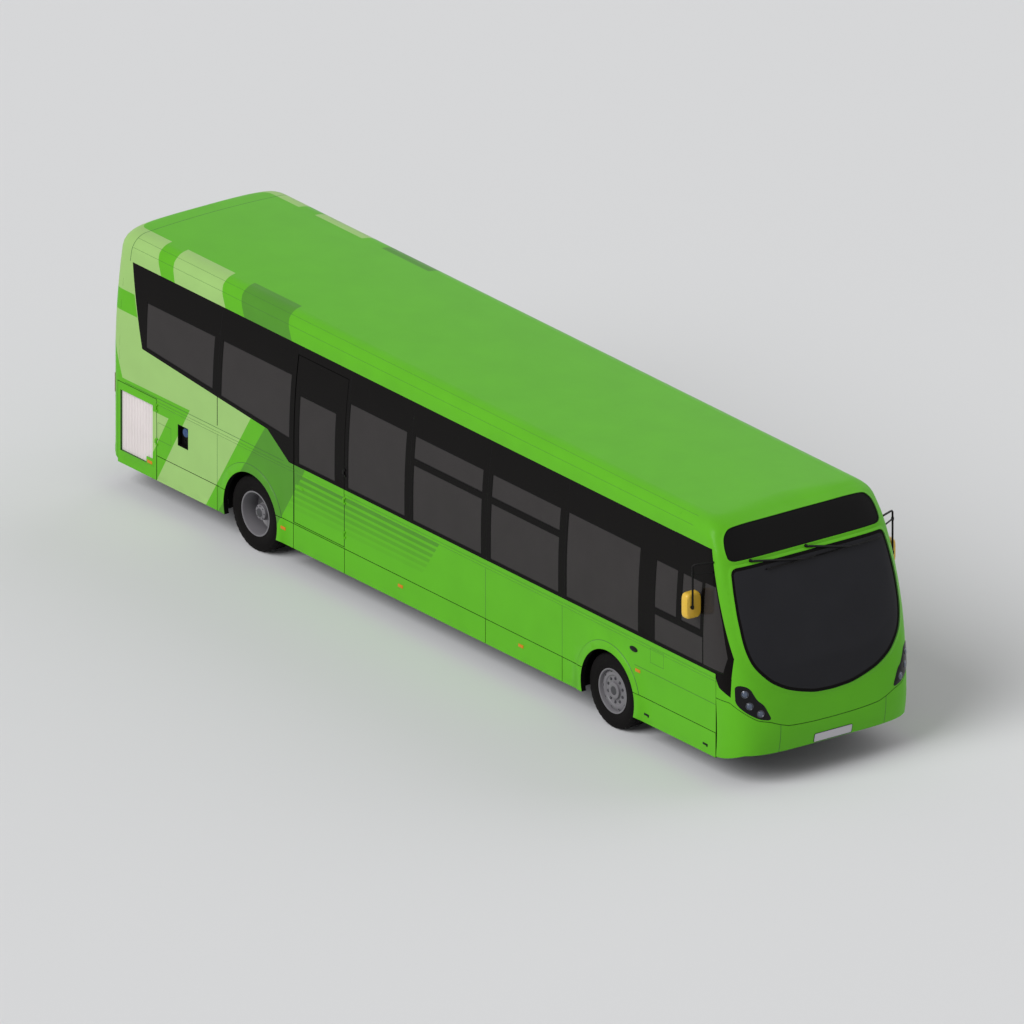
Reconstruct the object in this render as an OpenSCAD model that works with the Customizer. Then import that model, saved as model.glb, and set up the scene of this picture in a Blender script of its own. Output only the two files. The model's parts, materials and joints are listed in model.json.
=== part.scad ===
// Single-deck low-floor city bus, 11.7 m long, right-hand drive, one entrance.
// Frame: +X forward, +Y to the left (kerb) side, +Z up. Origin: on the ground,
// midway along the length and the width.

/* [Body] */
// Overall length
body_len = 11700; // [11500:50:11950]
// Width over the side panels
body_w = 2440; // [2380:10:2550]
// Height of the roof's centre line
roof_h = 2975; // [2950:5:3050]
// Thickness of the walls, roof and doors
wall = 60; // [40:5:70]
// Height of the skirt's lower edge
skirt_z = 293; // [270:1:320]
// Height of the seam between skirt and side panel
skirt_top = 588; // [560:1:620]
// Lower edge of the side glass
glass_z0 = 1310; // [1290:5:1350]
// Upper edge of the side glass
glass_z1 = 2310; // [2250:5:2350]
// Top of the side wall, where the roof's cove starts
rail_z = 2665; // [2640:5:2700]
// Radius of the roof's cove
cove_r = 220; // [200:5:240]
// Glass thickness
glass_t = 8; // [5:1:12]
// Gap round panels and doors
seam = 8; // [6:1:12]

/* [Wheels] */
// Distance from the front axle to the nose
front_overhang = 2510; // [2480:10:2600]
// Distance between the axles
wheelbase = 6540; // [6400:10:6600]
// Tyre radius
tyre_r = 433; // [410:1:445]
// Tyre width
tyre_w = 265; // [235:5:285]
// Radius of the wheel's bead seat
rim_r = 248; // [240:1:260]
// Distance of the tyre's face inside the side panel
tyre_inset = 53; // [40:1:80]
// Radius of the wheel arch
arch_r = 490; // [480:1:510]
// Centre spacing of the twin rear tyres
twin_pitch = 300; // [295:1:320]
// Radius of the wheel spindles
spindle_r = 40; // [32:1:48]

/* [Steering] */
// Kingpin offset inboard of the tyre's face
kingpin_in = 330; // [320:1:360]
// Length of the steering arms
arm_len = 180; // [150:5:200]
// Kingpin radius
kingpin_r = 20; // [16:1:26]

/* [Entrance] */
// Rear edge of the entrance
door_x0 = 3900; // [3880:5:3950]
// Front edge of the entrance
door_x1 = 5050; // [5000:5:5060]
// Height of the entrance's head
door_z1 = 2400; // [2300:10:2420]
// Thickness of an entrance door leaf
leaf_t = 40; // [30:1:45]
// Distance from leaf pivot to the leaf's hinged edge
pivot_in = 20; // [18:1:30]

/* [Floor] */
// Height of the low floor
floor_z = 350; // [340:5:380]
// Height of the rear floor
rear_floor_z = 700; // [680:5:740]
// Height of the deck over the engine
deck_z = 1080; // [1060:5:1120]
// Floor thickness
floor_t = 40; // [30:1:45]

/* [Hidden] */
$fn = 48;

green = [0.30, 0.62, 0.17];
black = [0.05, 0.05, 0.05];
glass = [0.12, 0.12, 0.13];
steel = [0.45, 0.46, 0.48];

half_len = body_len / 2;
half_w = body_w / 2;
front_x = half_len - front_overhang;
rear_x = front_x - wheelbase;
fit = 0.5;

// ---- Cross-section: straight side, leaning upper side, cove, crowned roof ----
waist_z = 1545;
side_r = 7520;
cove_end = 86.9;
cove_z0 = roof_h - 210;
cove_a0 = asin((cove_z0 - waist_z) / side_r);
cove_cy = half_w - pow(cove_z0 - waist_z, 2) / (2 * side_r) - cove_r * cos(cove_a0);
cove_cz = cove_z0 - cove_r * sin(cove_a0);
crown_y = cove_cy + cove_r * cos(cove_end);
crown_z = cove_cz + cove_r * sin(cove_end);

// Half width of the outer skin at height z
function skin_y(z) =
  z <= waist_z ? half_w :
  z <= cove_z0 ? half_w - pow(z - waist_z, 2) / (2 * side_r) :
  z <= crown_z ? cove_cy + sqrt(pow(cove_r, 2) - pow(z - cove_cz, 2)) :
  crown_y * sqrt(max(0, roof_h - z) / (roof_h - crown_z));

// Heights at which the skin is drawn, between two given heights
function heights(z0, z1) = concat([z0],
  [for (z = [waist_z : 140 : cove_z0]) if (z > z0 + 20 && z < z1 - 20) z], [z1]);

// Half of the roof's outline, pulled in by d, from the rail to the centre line
function roof_half(d) = concat(
  [for (z = heights(rail_z, cove_z0)) [skin_y(z) - d, z]],
  [for (i = [1 : 9]) let (a = cove_a0 + (cove_end - cove_a0) * i / 9)
    [cove_cy + (cove_r - d) * cos(a), cove_cz + (cove_r - d) * sin(a)]],
  [for (i = [1 : 5]) let (y = crown_y * (1 - i / 5))
    [y, roof_h - d - (roof_h - crown_z) * pow(y / crown_y, 2)]]);
function flip(p) = [for (i = [len(p) - 1 : -1 : 0]) [-p[i][0], p[i][1]]];
function back(p) = [for (i = [len(p) - 1 : -1 : 0]) p[i]];
function full_roof(d) = let (h = roof_half(d)) concat(h, [for (i = [1 : len(h) - 1]) flip(h)[i]]);

module along_x(x0, x1) translate([x0, 0, 0]) rotate([90, 0, 90]) linear_extrude(x1 - x0) children();
module along_y(y0, y1) translate([0, y1, 0]) rotate([90, 0, 0]) linear_extrude(y1 - y0) children();
module box(x, y, z) translate([x[0], y[0], z[0]]) cube([x[1] - x[0], y[1] - y[0], z[1] - z[0]]);
module sided(side) { if (side > 0) children(); else mirror([0, 1, 0]) children(); }

// A stretch of side wall on the left, between two depths under the skin
module slab(x0, x1, z0, z1, d0, d1) {
  zs = heights(z0, z1);
  along_x(x0, x1) polygon(concat([for (z = zs) [skin_y(z) - d0, z]],
    [for (z = back(zs)) [skin_y(z) - d1, z]]));
}

// ---- Nose and tail: level outlines that are superellipses ----
nose_z = 700;
nose_rake = 6.84e-4;
brow_z = 2850;
brow_len = 300;
corner_x = half_len - 850;
dome_x = 4480;
cab_x = 5080;
tail_x = half_len - 330;
tail_low_x = half_len - 210;
tail_corner = 330;
brow_top = roof_h + 1;
proud = 8;

function rounding(z, z0, len) = z <= z0 ? 0 :
  len * (1 - sqrt(max(0, 1 - pow((z - z0) / (brow_top - z0), 2))));
function nose_x(z) = half_len - (z <= nose_z ? 0.00045 * pow(nose_z - z, 2) : nose_rake * pow(z - nose_z, 1.8))
  - rounding(z, brow_z, brow_len);
function nose_a(z) = max(nose_x(z) - corner_x, 300);
function nose_n(z) = lookup(z, [[300, 4.6], [900, 4.6], [2000, 5.4], [2470, 5.9], [2975, 4.8]]);
function tail_end(z) = half_len - proud - rounding(z, 2790, 150);
function tail_a(z) = tail_end(z) - tail_x;

// Point of the nose or tail skin at height z and plan angle t, pulled in by d
function cap_pt(e, z, t, d) = let (
  n = e > 0 ? nose_n(z) : 4.5, a = e > 0 ? nose_a(z) : tail_a(z),
  x = e > 0 ? nose_x(z) : tail_end(z), b = skin_y(z),
  drop = d * max(0, (z - 2500) / (roof_h - 2500)))
  [e * (x - a + max(a - d, 1) * pow(abs(cos(t)), 2 / n)),
   sign(t) * max(0, b - d * (z > crown_z ? 0 : 1)) * pow(abs(sin(t)), 2 / n), z - drop];

// Plan angle at which the skin is at distance x from the middle of the bus
function cap_t(e, z, x) = let (n = e > 0 ? nose_n(z) : 4.5, a = e > 0 ? nose_a(z) : tail_a(z),
  s = e > 0 ? nose_x(z) : tail_end(z), k = (x - s + a) / a)
  k <= 0 ? 90 : acos(pow(min(k, 1), n / 2));

// Share of the plan angle at which the skin is y from the centre line
function cap_share(e, y, z, x0) =
  asin(pow(y / skin_y(z), (e > 0 ? nose_n(z) : 4.5) / 2)) / cap_t(e, z, x0);

// Foremost point of the nose at height z and y from the centre line
function cap_skin(y, z) = nose_x(z) - nose_a(z) * (1 - pow(1 - pow(abs(y) / skin_y(z), nose_n(z)), 1 / nose_n(z)));

// A shell of the nose (e = 1) or tail (e = -1) from x0 on, between depths d0 and d1 under the
// skin. lows and highs give its edges by plan angle, and shares its stretch of the plan.
module cap_shell(e, lows, highs, x0, d0, d1, nz, nt, closed = false, shares = [-1, 1]) {
  ref = cap_t(e, 1000, x0);
  function share(j) = shares[0] + (shares[1] - shares[0]) * j / nt;
  function row(i) = closed ? 1 - pow(1 - i / nz, 1.8) : i / nz;
  function zrow(i, j) = let (a = abs(share(j)) * ref)
    lookup(a, lows) + (lookup(a, highs) - lookup(a, lows)) * row(i);
  function pt(i, j, d) = let (z = zrow(i, j), s = share(j), q = cap_pt(e, z, s * cap_t(e, z, x0), d))
    abs(s) == 1 ? [e * x0, q[1], q[2]] : q;
  w = nt + 1;
  h = (nz + 1) * w;
  grid = [for (d = [d0, d1]) for (i = [0 : nz]) for (j = [0 : nt]) pt(i, j, d)];
  outer = [for (i = [0 : nz - 1]) for (j = [0 : nt - 1]) each
    [[i * w + j, i * w + j + 1, (i + 1) * w + j + 1], [i * w + j, (i + 1) * w + j + 1, (i + 1) * w + j]]];
  inner = [for (f = outer) [f[2] + h, f[1] + h, f[0] + h]];
  function strip(a, b) = [[b, a, a + h], [b, a + h, b + h]];
  low_rim = [for (j = [0 : nt - 1]) each strip(j, j + 1)];
  high_rim = closed ? [] : [for (j = [0 : nt - 1]) each strip(nz * w + j + 1, nz * w + j)];
  ends = [for (i = [0 : nz - 1]) each
    concat(strip((i + 1) * w, i * w), strip(i * w + nt, (i + 1) * w + nt))];
  all = concat(outer, inner, low_rim, high_rim, ends);
  polyhedron(grid, e > 0 ? [for (f = all) [f[2], f[1], f[0]]] : all, convexity = 8);
}
function level(z) = [[0, z], [90, z]];

// A straight round rod between two points
module rod(p, q, r) {
  v = q - p;
  translate(p) rotate([0, acos(v[2] / norm(v)), atan2(v[1], v[0])]) cylinder(r = r, h = norm(v));
}
module both_sides() { children(); mirror([0, 1, 0]) children(); }

// ---- Chassis ----
rail_y = 430;
rail_z0 = 225;
rear_rail_z0 = 560;
low_floor_x0 = -1500;
deck_x1 = -4300;
tow_x = 5105;
tow_r = 16;
jack_x = -2500;
module chassis_frame() color([0.1, 0.1, 0.1]) {
  both_sides() {
    difference() {
      box([low_floor_x0 - 100, 5150], [rail_y - 30, rail_y + 30], [rail_z0, floor_z - floor_t]);
      translate([tow_x, rail_y, rail_z0 - 1]) cylinder(r = tow_r, h = floor_z);
    }
    box([-5400, low_floor_x0], [rail_y - 30, rail_y + 30], [rear_rail_z0, rear_floor_z - floor_t]);
    box([low_floor_x0 - 100, low_floor_x0], [rail_y - 30, rail_y + 30], [rail_z0, rear_floor_z - floor_t]);
    box([jack_x - 50, jack_x + 50], [rail_y - 30, rail_y + 30], [rear_rail_z0 - 10, rear_rail_z0 + 1]);
  }
  for (x = [-1000 : 900 : 2600]) cross_member(x, rail_z0);
  for (x = [4000, 4900]) cross_member(x, rail_z0);
  for (x = [-5350, -4000, -2300]) cross_member(x, rear_rail_z0);
}
module cross_member(x, z) box([x - 25, x + 25], [30 - rail_y, rail_y - 30], [z + 10, z + 75]);
chassis_frame();

// ---- Floor and wheel boxes ----
inner_w = half_w - wall;
box_front = [front_x - 560, front_x + 560];
box_rear = [rear_x - 520, rear_x + 520];
box_y_front = 560;
box_y_rear = 540;
box_t = 8;
module floor() color([0.25, 0.25, 0.27]) difference() {
  union() {
    box([low_floor_x0, cab_x], [-inner_w, inner_w], [floor_z - floor_t, floor_z]);
    box([cab_x, 5500], [-900, 900], [floor_z - floor_t, floor_z]);
    box([door_x0 + fit, door_x1 - fit], [inner_w - 1, half_w - 2], [floor_z - floor_t, floor_z]);
    for (x = [post_rear, post_front]) translate([x, leaf_y, floor_z - 1]) cylinder(r = post_r, h = 36);
    box([low_floor_x0, low_floor_x0 + floor_t], [-inner_w + 10, inner_w - 10], [floor_z - floor_t, rear_floor_z]);
    box([deck_x1, low_floor_x0 + 1], [-inner_w, inner_w], [rear_floor_z - floor_t, rear_floor_z]);
    box([deck_x1 - floor_t, deck_x1], [-inner_w, inner_w], [rear_floor_z - floor_t, deck_z]);
    box([-5500, deck_x1], [-inner_w, inner_w], [deck_z - floor_t, deck_z]);
  }
  both_sides() {
    box(box_front, [box_y_front, half_w], [floor_z - floor_t - 1, floor_z + 1]);
    box(box_rear, [box_y_rear, half_w], [rear_floor_z - floor_t - 1, rear_floor_z + 1]);
  }
}
floor();

module wheel_box(x, y, z0, z1) difference() {
  box(x, [y, inner_w - 10], [z0, z1]);
  box([x[0] + box_t, x[1] - box_t], [y + box_t, half_w], [z0 - 1, z1 - box_t]);
}
module wheel_boxes() color([0.2, 0.2, 0.22]) both_sides() {
  wheel_box(box_front, box_y_front, floor_z - floor_t, 1000);
  wheel_box(box_rear, box_y_rear, rear_floor_z - floor_t, 960);
}
wheel_boxes();

// ---- Side windows ----
sill_rear = [-5121, 1784];
bay1 = [[-5121, 1784], [-3890, 1684], [-3890, glass_z1], [-5143, glass_z1]];
bay2 = [[-3750, 1657], [-2485, 1554], [-2485, glass_z1], [-3750, glass_z1]];
hopper_z = [1975, 2035];
function pane(x0, x1, z0, z1) = [[x0, z0], [x1, z0], [x1, z1], [x0, z1]];
common_panes = [bay1, bay2,
  pane(-1424, -374, glass_z0, glass_z1),
  pane(-235, 1027, glass_z0, hopper_z[0]), pane(-235, 1027, hopper_z[1], glass_z1),
  pane(1185, 2443, glass_z0, hopper_z[0]), pane(1185, 2443, hopper_z[1], glass_z1)];
panes_right = concat(common_panes, [pane(2574, 3904, glass_z0, glass_z1),
  pane(4187, 4595, 1700, 2265), pane(4675, 5040, 1700, 2265), pane(4187, cab_x, glass_z0, 1640)]);
panes_left = concat(common_panes, [pane(-2326, -1560, glass_z0, glass_z1),
  pane(2574, 3790, glass_z0, glass_z1)]);

module side_panes(panes) for (p = panes) intersection() {
  slab(min([for (q = p) q[0]]), max([for (q = p) q[0]]), min([for (q = p) q[1]]), max([for (q = p) q[1]]),
    0, glass_t);
  along_y(900, half_w + 10) offset(delta = -fit) polygon(p);
}
module side_windows_right() color(glass) sided(-1) side_panes(panes_right);
side_windows_right();
module side_windows_left() color(glass) side_panes(panes_left);
side_windows_left();

// ---- Hinges of the two side doors: a fixed pair of eyes with a pin, and the door's knuckle ----
hinge_y = half_w + 8;
hinge_r = 7;
pin_r = 4;
pin_fit = 0.05;
hinge_z = [750, 1150, 1480];
module hinge_eyes(x, zs) for (z = zs) {
  for (h = [z - 42, z + 22]) {
    translate([x, hinge_y, h]) cylinder(r = hinge_r, h = 20);
    box([x, x + 26], [half_w - 4, hinge_y], [h, h + 20]);
  }
  translate([x, hinge_y, z - 41]) cylinder(r = pin_r, h = 82);
}
module hinge_knuckle(x, zs) for (z = zs) difference() {
  union() {
    translate([x, hinge_y, z - 21]) cylinder(r = hinge_r, h = 42);
    box([x - 26, x], [half_w - 4, hinge_y], [z - 21, z + 21]);
  }
  translate([x, hinge_y, z - 22]) cylinder(r = pin_r + pin_fit, h = 44);
}

// ---- Side walls ----
// The right wall carries the emergency door, the radiator door and the filler box
wall_front_x = 5317;
low_seam = 1250;
escape = [-2416, -1482, 600, 2560];
radiator = [-5640, -4919, skirt_z, low_seam];
escape_hinge = escape[1] - seam / 2;
radiator_hinge = radiator[1] - seam / 2;
swing = 16;
filler = [-4535, -4345, 829, 1079];
module arches(d) for (x = [front_x, rear_x]) translate([x, half_w + 100, tyre_r])
  rotate([90, 0, 0]) cylinder(r = arch_r, h = d, $fn = 96);
module window_cuts(panes) for (p = panes) along_y(900, half_w + 10) polygon(p);
module wall_blank(low_x0) {
  slab(-tail_x, dome_x, low_seam, rail_z, 0, wall);
  slab(dome_x, cab_x, low_seam, 2500, 0, wall);
  slab(low_x0, wall_front_x, skirt_top, low_seam, 0, wall);
  slab(cab_x, wall_front_x, low_seam, cowl_top, 0, wall);
}
module side_wall_right() color(green) sided(-1) {
  difference() {
    wall_blank(radiator[1]);
    window_cuts(panes_right);
    arches(200);
    box([escape[0], escape[1]], [900, half_w + 10], [escape[2], escape[3]]);
    box([filler[0], filler[1]], [900, half_w + 10], [filler[2], filler[3]]);
  }
  hinge_eyes(escape_hinge, hinge_z);
  hinge_eyes(radiator_hinge, [hinge_z[0], hinge_z[1]]);
}
side_wall_right();
module side_wall_left() color(green) {
  difference() {
    wall_blank(radiator[0]);
    window_cuts(panes_left);
    arches(200);
    box([door_x0, door_x1], [900, half_w + 10], [skirt_z, door_z1]);
  }
  for (x = [post_rear, post_front]) translate([x, leaf_y, leaf_z[1] - 30]) cylinder(r = post_r, h = door_z1 - leaf_z[1] + 31);
}
side_wall_left();

// ---- Skirts: panels with a hidden lip behind the wall ----
cowl_top = 1278;
skirt_seams = [-3812, -2416, -1482, 1100, 2505];
module skirt_row(x0, x1) {
  ends = concat([x0], [for (x = skirt_seams) if (x > x0 + 100) x], [x1]);
  for (i = [0 : len(ends) - 2]) skirt_panel(ends[i] + seam / 2, ends[i + 1] - seam / 2);
}
module skirt_panel(x0, x1) difference() {
  union() {
    slab(x0, x1, skirt_z, skirt_top - seam, 0, wall);
    slab(x0, x1, skirt_top - 50, skirt_top + 9, wall, wall + 8);
  }
  arches(200);
}
module skirts() color(green) {
  sided(-1) skirt_row(radiator[1], wall_front_x);
  difference() {
    skirt_row(radiator[0], wall_front_x);
    box([door_x0 - seam, door_x1 + seam], [900, half_w + 10], [floor_z - floor_t, skirt_top + 20]);
  }
}
skirts();

// ---- Roof and nose ----
module roof() color(green) along_x(-tail_x, dome_x) polygon(concat(full_roof(0), back(full_roof(wall))));
roof();

sign_half = [[0, 2533], [1028, 2533], [1040, 2642], [1014, 2767], [960, 2830], [900, 2862], [700, 2874], [0, 2876]];
screen_half = [[0, 985], [250, 1000], [460, 1054], [620, 1108], [750, 1179], [830, 1236], [900, 1307],
  [965, 1385], [1010, 1465], [1045, 1580], [1065, 1710], [1076, 1976], [1064, 2230], [1034, 2470], [0, 2470]];
function whole(p) = concat(p, [for (i = [len(p) - 2 : -1 : 1]) [-p[i][0], p[i][1]]]);
quarter = [[cab_x, glass_z0], [5440, glass_z0], [5500, 1500], [5400, 1900], [5265, 2280], [cab_x, 2280]];
dome_z = 2500;

module front_dome() color(green) difference() {
  cap_shell(1, level(dome_z), level(roof_h), dome_x, 0, wall, 12, 32, closed = true);
  along_x(4700, half_len) polygon(whole(sign_half));
}
front_dome();

module front_panel() color(green) difference() {
  cap_shell(1, level(cowl_top), level(dome_z), cab_x, 0, wall, 8, 32);
  along_x(5000, half_len + 10) polygon(whole(screen_half));
  both_sides() along_y(800, half_w + 10) polygon(quarter);
}
front_panel();

bumper_seam = [[0, 672], [12, 700], [25, 780], [37, 815], [51, 895], [70, 1000], [90, 1000]];
bumper_low = [[0, 393], [50, 390], [75, 320], [90, skirt_z]];
module front_cowl() color(green) difference() {
  cap_shell(1, bumper_seam, level(cowl_top), wall_front_x, 0, wall, 4, 32);
  along_x(5000, half_len + 10) polygon(whole(screen_half));
}
front_cowl();

module front_bumper() color(green)
  cap_shell(1, bumper_low, [for (p = bumper_seam) [p[0], p[1] - seam]], wall_front_x, 0, wall, 4, 32);
front_bumper();

module windscreen() color(glass) intersection() {
  cap_shell(1, level(970), level(2480), cab_x, 0, glass_t, 14, 32);
  along_x(5000, half_len + 10) offset(delta = -fit) polygon(whole(screen_half));
}
windscreen();

module quarter_windows() color(glass) both_sides() intersection() {
  cap_shell(1, level(cowl_top), level(dome_z), cab_x, 0, glass_t, 8, 32);
  along_y(800, half_w + 10) offset(delta = -fit) polygon(quarter);
}
quarter_windows();

module destination_glass() color(glass) intersection() {
  cap_shell(1, level(2520), level(2885), dome_x, 0, glass_t, 5, 32);
  along_x(4700, half_len) offset(delta = -fit) polygon(whole(sign_half));
}
destination_glass();

// The sign's case stands on a rail between the side walls
module destination_box() color(black) {
  z = [2440, 2480];
  along_x(4600, 4680) polygon([for (p = [[1, 0], [1, 1], [-1, 1], [-1, 0]])
    [p[0] * (skin_y(z[p[1]]) - wall - 0.4), z[p[1]]]]);
  box([4620, 5020], [-850, 850], [z[1], z[1] + 30]);
  box([4930, 5020], [-850, 850], [z[1], 2800]);
}
destination_box();

// ---- Tail ----
cover_y = 860;
cover_z = [560, low_seam - seam];
cover_hinge = [proud - half_len, cover_z[1]];
module lid_barrel(y0, y1, z) {
  translate([cover_hinge[0], y0, cover_hinge[1]]) rotate([-90, 0, 0]) cylinder(r = hinge_r - 1, h = y1 - y0);
  box([cover_hinge[0], cover_hinge[0] + 40], [y0, y1], z);
}
module lid_pin(y0, y1, r) translate([cover_hinge[0], y0, cover_hinge[1]]) rotate([-90, 0, 0]) cylinder(r = r, h = y1 - y0);
module rear_panel() color(green) {
  difference() {
    cap_shell(-1, level(low_seam), level(roof_h), tail_x, 0, wall, 14, 32, closed = true);
    box([-half_len - 10, -tail_x], [-800, 800], [1640, 2290]);
  }
  both_sides() {
    for (y = [640, 697]) lid_barrel(y, y + 25, [cover_hinge[1], low_seam + 1]);
    lid_pin(641, 721, pin_r);
  }
}
rear_panel();

module rear_window() color(glass) intersection() {
  cap_shell(-1, level(1600), level(2330), tail_x, 0, glass_t, 4, 32);
  box([-half_len - 10, -tail_x], [fit - 800, 800 - fit], [1640 + fit, 2290 - fit]);
}
rear_window();

module rear_bumper() color(green) difference() {
  cap_shell(-1, [[0, 393], [60, 393], [84, 330], [90, 330]], level(low_seam), 5640, 0, wall, 4, 32);
  box([-half_len - 10, -5600], [-cover_y - seam, cover_y + seam], [cover_z[0], low_seam + 1]);
}
rear_bumper();

module engine_cover() color(green) {
  s = cap_share(-1, cover_y, 1000, 5640);
  cap_shell(-1, level(cover_z[0] + seam), level(cover_z[1] - seam), 5640, 0, 40, 2, 16, shares = [-s, s]);
  both_sides() difference() {
    lid_barrel(666, 696, [cover_z[1] - seam - 10, cover_hinge[1]]);
    lid_pin(665, 697, pin_r + pin_fit);
  }
}
engine_cover();

module radiator_door() color([0.8, 0.8, 0.8]) sided(-1) {
  slab(radiator[0] + seam, radiator[1] - seam, skirt_z, radiator[3] - seam, 0, 40);
  hinge_knuckle(radiator_hinge, [hinge_z[0], hinge_z[1]]);
}
radiator_door();

// ---- Emergency door ----
escape_pane = pane(-2326, -1652, glass_z0, 2120);
module emergency_door() color(green) sided(-1) {
  difference() {
    slab(escape[0] + swing, escape[1] - seam, escape[2] + seam, escape[3] - seam, 0, wall);
    window_cuts([escape_pane]);
  }
  hinge_knuckle(escape_hinge, hinge_z);
}
emergency_door();
module emergency_door_glass() color(glass) sided(-1) side_panes([escape_pane]);
emergency_door_glass();

// ---- Entrance: two leaves, each turning about a post at its outer edge ----
leaf_y = half_w - wall - leaf_t / 2;
leaf_z = [floor_z + 10, door_z1 - seam];
leaf_mid = (door_x0 + door_x1) / 2;
post_front = door_x1 - seam - pivot_in;
post_rear = door_x0 + seam + pivot_in;
post_r = 10;
module leaf(post, edge) difference() {
  union() {
    box([min(post, edge), max(post, edge)], [leaf_y - leaf_t / 2, leaf_y + leaf_t / 2], leaf_z);
    translate([post, leaf_y, leaf_z[0]]) cylinder(r = leaf_t / 2, h = leaf_z[1] - leaf_z[0]);
  }
  leaf_opening(post, edge, 0, half_w);
  for (z = [leaf_z[0] - 1, leaf_z[1] - 39]) translate([post, leaf_y, z]) cylinder(r = post_r + pin_fit, h = 40);
}
module leaf_opening(post, edge, gap, y) {
  s = sign(edge - post);
  x = [post + s * 50, edge - s * 45];
  box([min(x) + gap, max(x) - gap], [y == half_w ? 0 : leaf_y - glass_t / 2, y], [leaf_z[0] + 160 + gap, leaf_z[1] - 90 - gap]);
}
module entrance_door_front() color(black) leaf(post_front, leaf_mid + seam / 2);
entrance_door_front();
module entrance_glass_front() color(glass)
  leaf_opening(post_front, leaf_mid + seam / 2, fit, leaf_y + glass_t / 2);
entrance_glass_front();
module entrance_door_rear() color(black) leaf(post_rear, leaf_mid - seam / 2);
entrance_door_rear();
module entrance_glass_rear() color(glass)
  leaf_opening(post_rear, leaf_mid - seam / 2, fit, leaf_y + glass_t / 2);
entrance_glass_rear();

// ---- Lamps, mirrors, wipers, plates ----
lamp_low = [[25, 800], [37, 835], [51, 915], [65, 1005]];
lamp_high = [[25, 812], [32, 1000], [38, 1046], [48, 1205], [65, 1232]];
module nose_pad(e, lows, highs, x0, t0, t1, d0, nz, nt) {
  ref = cap_t(e, 1000, x0);
  cap_shell(e, lows, highs, x0, d0, -1.3, nz, nt, shares = [t0 / ref, t1 / ref]);
}
module headlights() color(black) both_sides() nose_pad(1, lamp_low, lamp_high, wall_front_x, 25, 65, -8, 2, 8);
headlights();
module tail_lights() color([0.5, 0.05, 0.05]) both_sides()
  nose_pad(-1, level(800), level(1370), 5640, 42, 66, -14, 1, 4);
tail_lights();

mirror_x = 5085;
mirror_y = 1362;
head_y = 1326.5;
mirror_z = [1874, 2174];
module mirror_arms() color(black) both_sides() {
  top = [mirror_x, mirror_y, 2520];
  rod(top, [mirror_x, mirror_y, 2008], 12);
  translate(top) sphere(r = 14);
  rod(top, [5187.3, 1155.4, 2534.6], 12);
  rod([mirror_x, mirror_y, 2420], [5192, 1171.5, 2420], 10);
  rod([mirror_x, mirror_y, 2020], [mirror_x - 20, mirror_y, 2020], 16);
}
mirror_arms();
module mirror_heads() color([0.85, 0.68, 0.15]) both_sides()
  box([mirror_x - 115, mirror_x - 20], [head_y - 104, head_y + 104], mirror_z);
mirror_heads();

// Each wiper hangs from a spindle above the windscreen and lies along its top edge
module wiper(pivot_y, y0, y1) {
  skin = cap_skin(pivot_y, 2515) + 7.4;
  blade_x = nose_x(2400) + 22;
  mid = (y0 + y1) / 2;
  rod([skin, pivot_y, 2515], [skin + 34, pivot_y, 2515], 14);
  rod([skin + 26, pivot_y, 2515], [blade_x + 14, mid, 2405], 8);
  box([blade_x - 8, blade_x + 14], [y0, y1], [2390, 2406]);
}
module wipers() color(black) {
  wiper(-770, -600, 380);
  wiper(-20, 60, 960);
}
wipers();

plate_y = 260;
module number_plates() color([0.85, 0.85, 0.85]) {
  f = cap_share(1, plate_y, 450, wall_front_x);
  cap_shell(1, level(402), level(513), wall_front_x, -4.5, -0.9, 4, 8, shares = [-f, f]);
  r = cap_share(-1, plate_y, 450, 5640);
  cap_shell(-1, level(425), level(536), 5640, -4.5, -0.9, 2, 8, shares = [-r, r]);
}
number_plates();

module filler_box() color(black) sided(-1) {
  difference() {
    box([filler[0] + fit, filler[1] - fit], [half_w - wall, half_w - 1], [filler[2] + fit, filler[3] - fit]);
    box([filler[0] + 6, filler[1] - 6], [half_w - wall + 6, half_w], [filler[2] + 6, filler[3] - 6]);
  }
  translate([-4420, half_w - 16, 1004]) rotate([90, 0, 0]) cylinder(r = 55, h = wall - 20);
}
filler_box();

// ---- Engine and cab ----
module engine() color([0.3, 0.3, 0.32]) {
  box([-5300, -4600], [-380, 380], [430, 1000]);
  both_sides() for (x = [-5200, -4800]) box([x, x + 100], [379, rail_y - 30], [580, 640]);
}
engine();

dash_y = [-880, 420];
module dashboard() color([0.15, 0.15, 0.16]) {
  box([5180, 5260], dash_y, [floor_z, 1000]);
  box([5100, 5480], dash_y, [1000, 1060]);
  box([5090, 5260], [-900, -350], [1059, 1150]);
}
dashboard();

driver_y = -640;
wheel_r = 225;
module steering_wheel() color(black) translate([5080, driver_y, 1090]) rotate([0, -62, 0]) {
  translate([0, 0, 160]) rotate_extrude() translate([wheel_r - 15, 0]) circle(r = 15);
  cylinder(r = 22, h = 172);
  for (a = [0, 120, 240]) rotate([0, 0, a]) translate([0, -14, 152]) cube([wheel_r - 15, 28, 14]);
}
steering_wheel();

module driver_seat() color([0.2, 0.2, 0.3]) {
  box([4320, 4620], [driver_y - 150, driver_y + 150], [floor_z, 700]);
  box([4260, 4740], [driver_y - 240, driver_y + 240], [700, 820]);
  box([4230, 4330], [driver_y - 230, driver_y + 230], [820, 1480]);
}
driver_seat();

module cab_screen() color([0.2, 0.2, 0.22]) {
  box([4090, 4120], [-1140, -300], [floor_z, 1950]);
  box([4120, 4900], [-330, -300], [floor_z, 1250]);
}
cab_screen();

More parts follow.
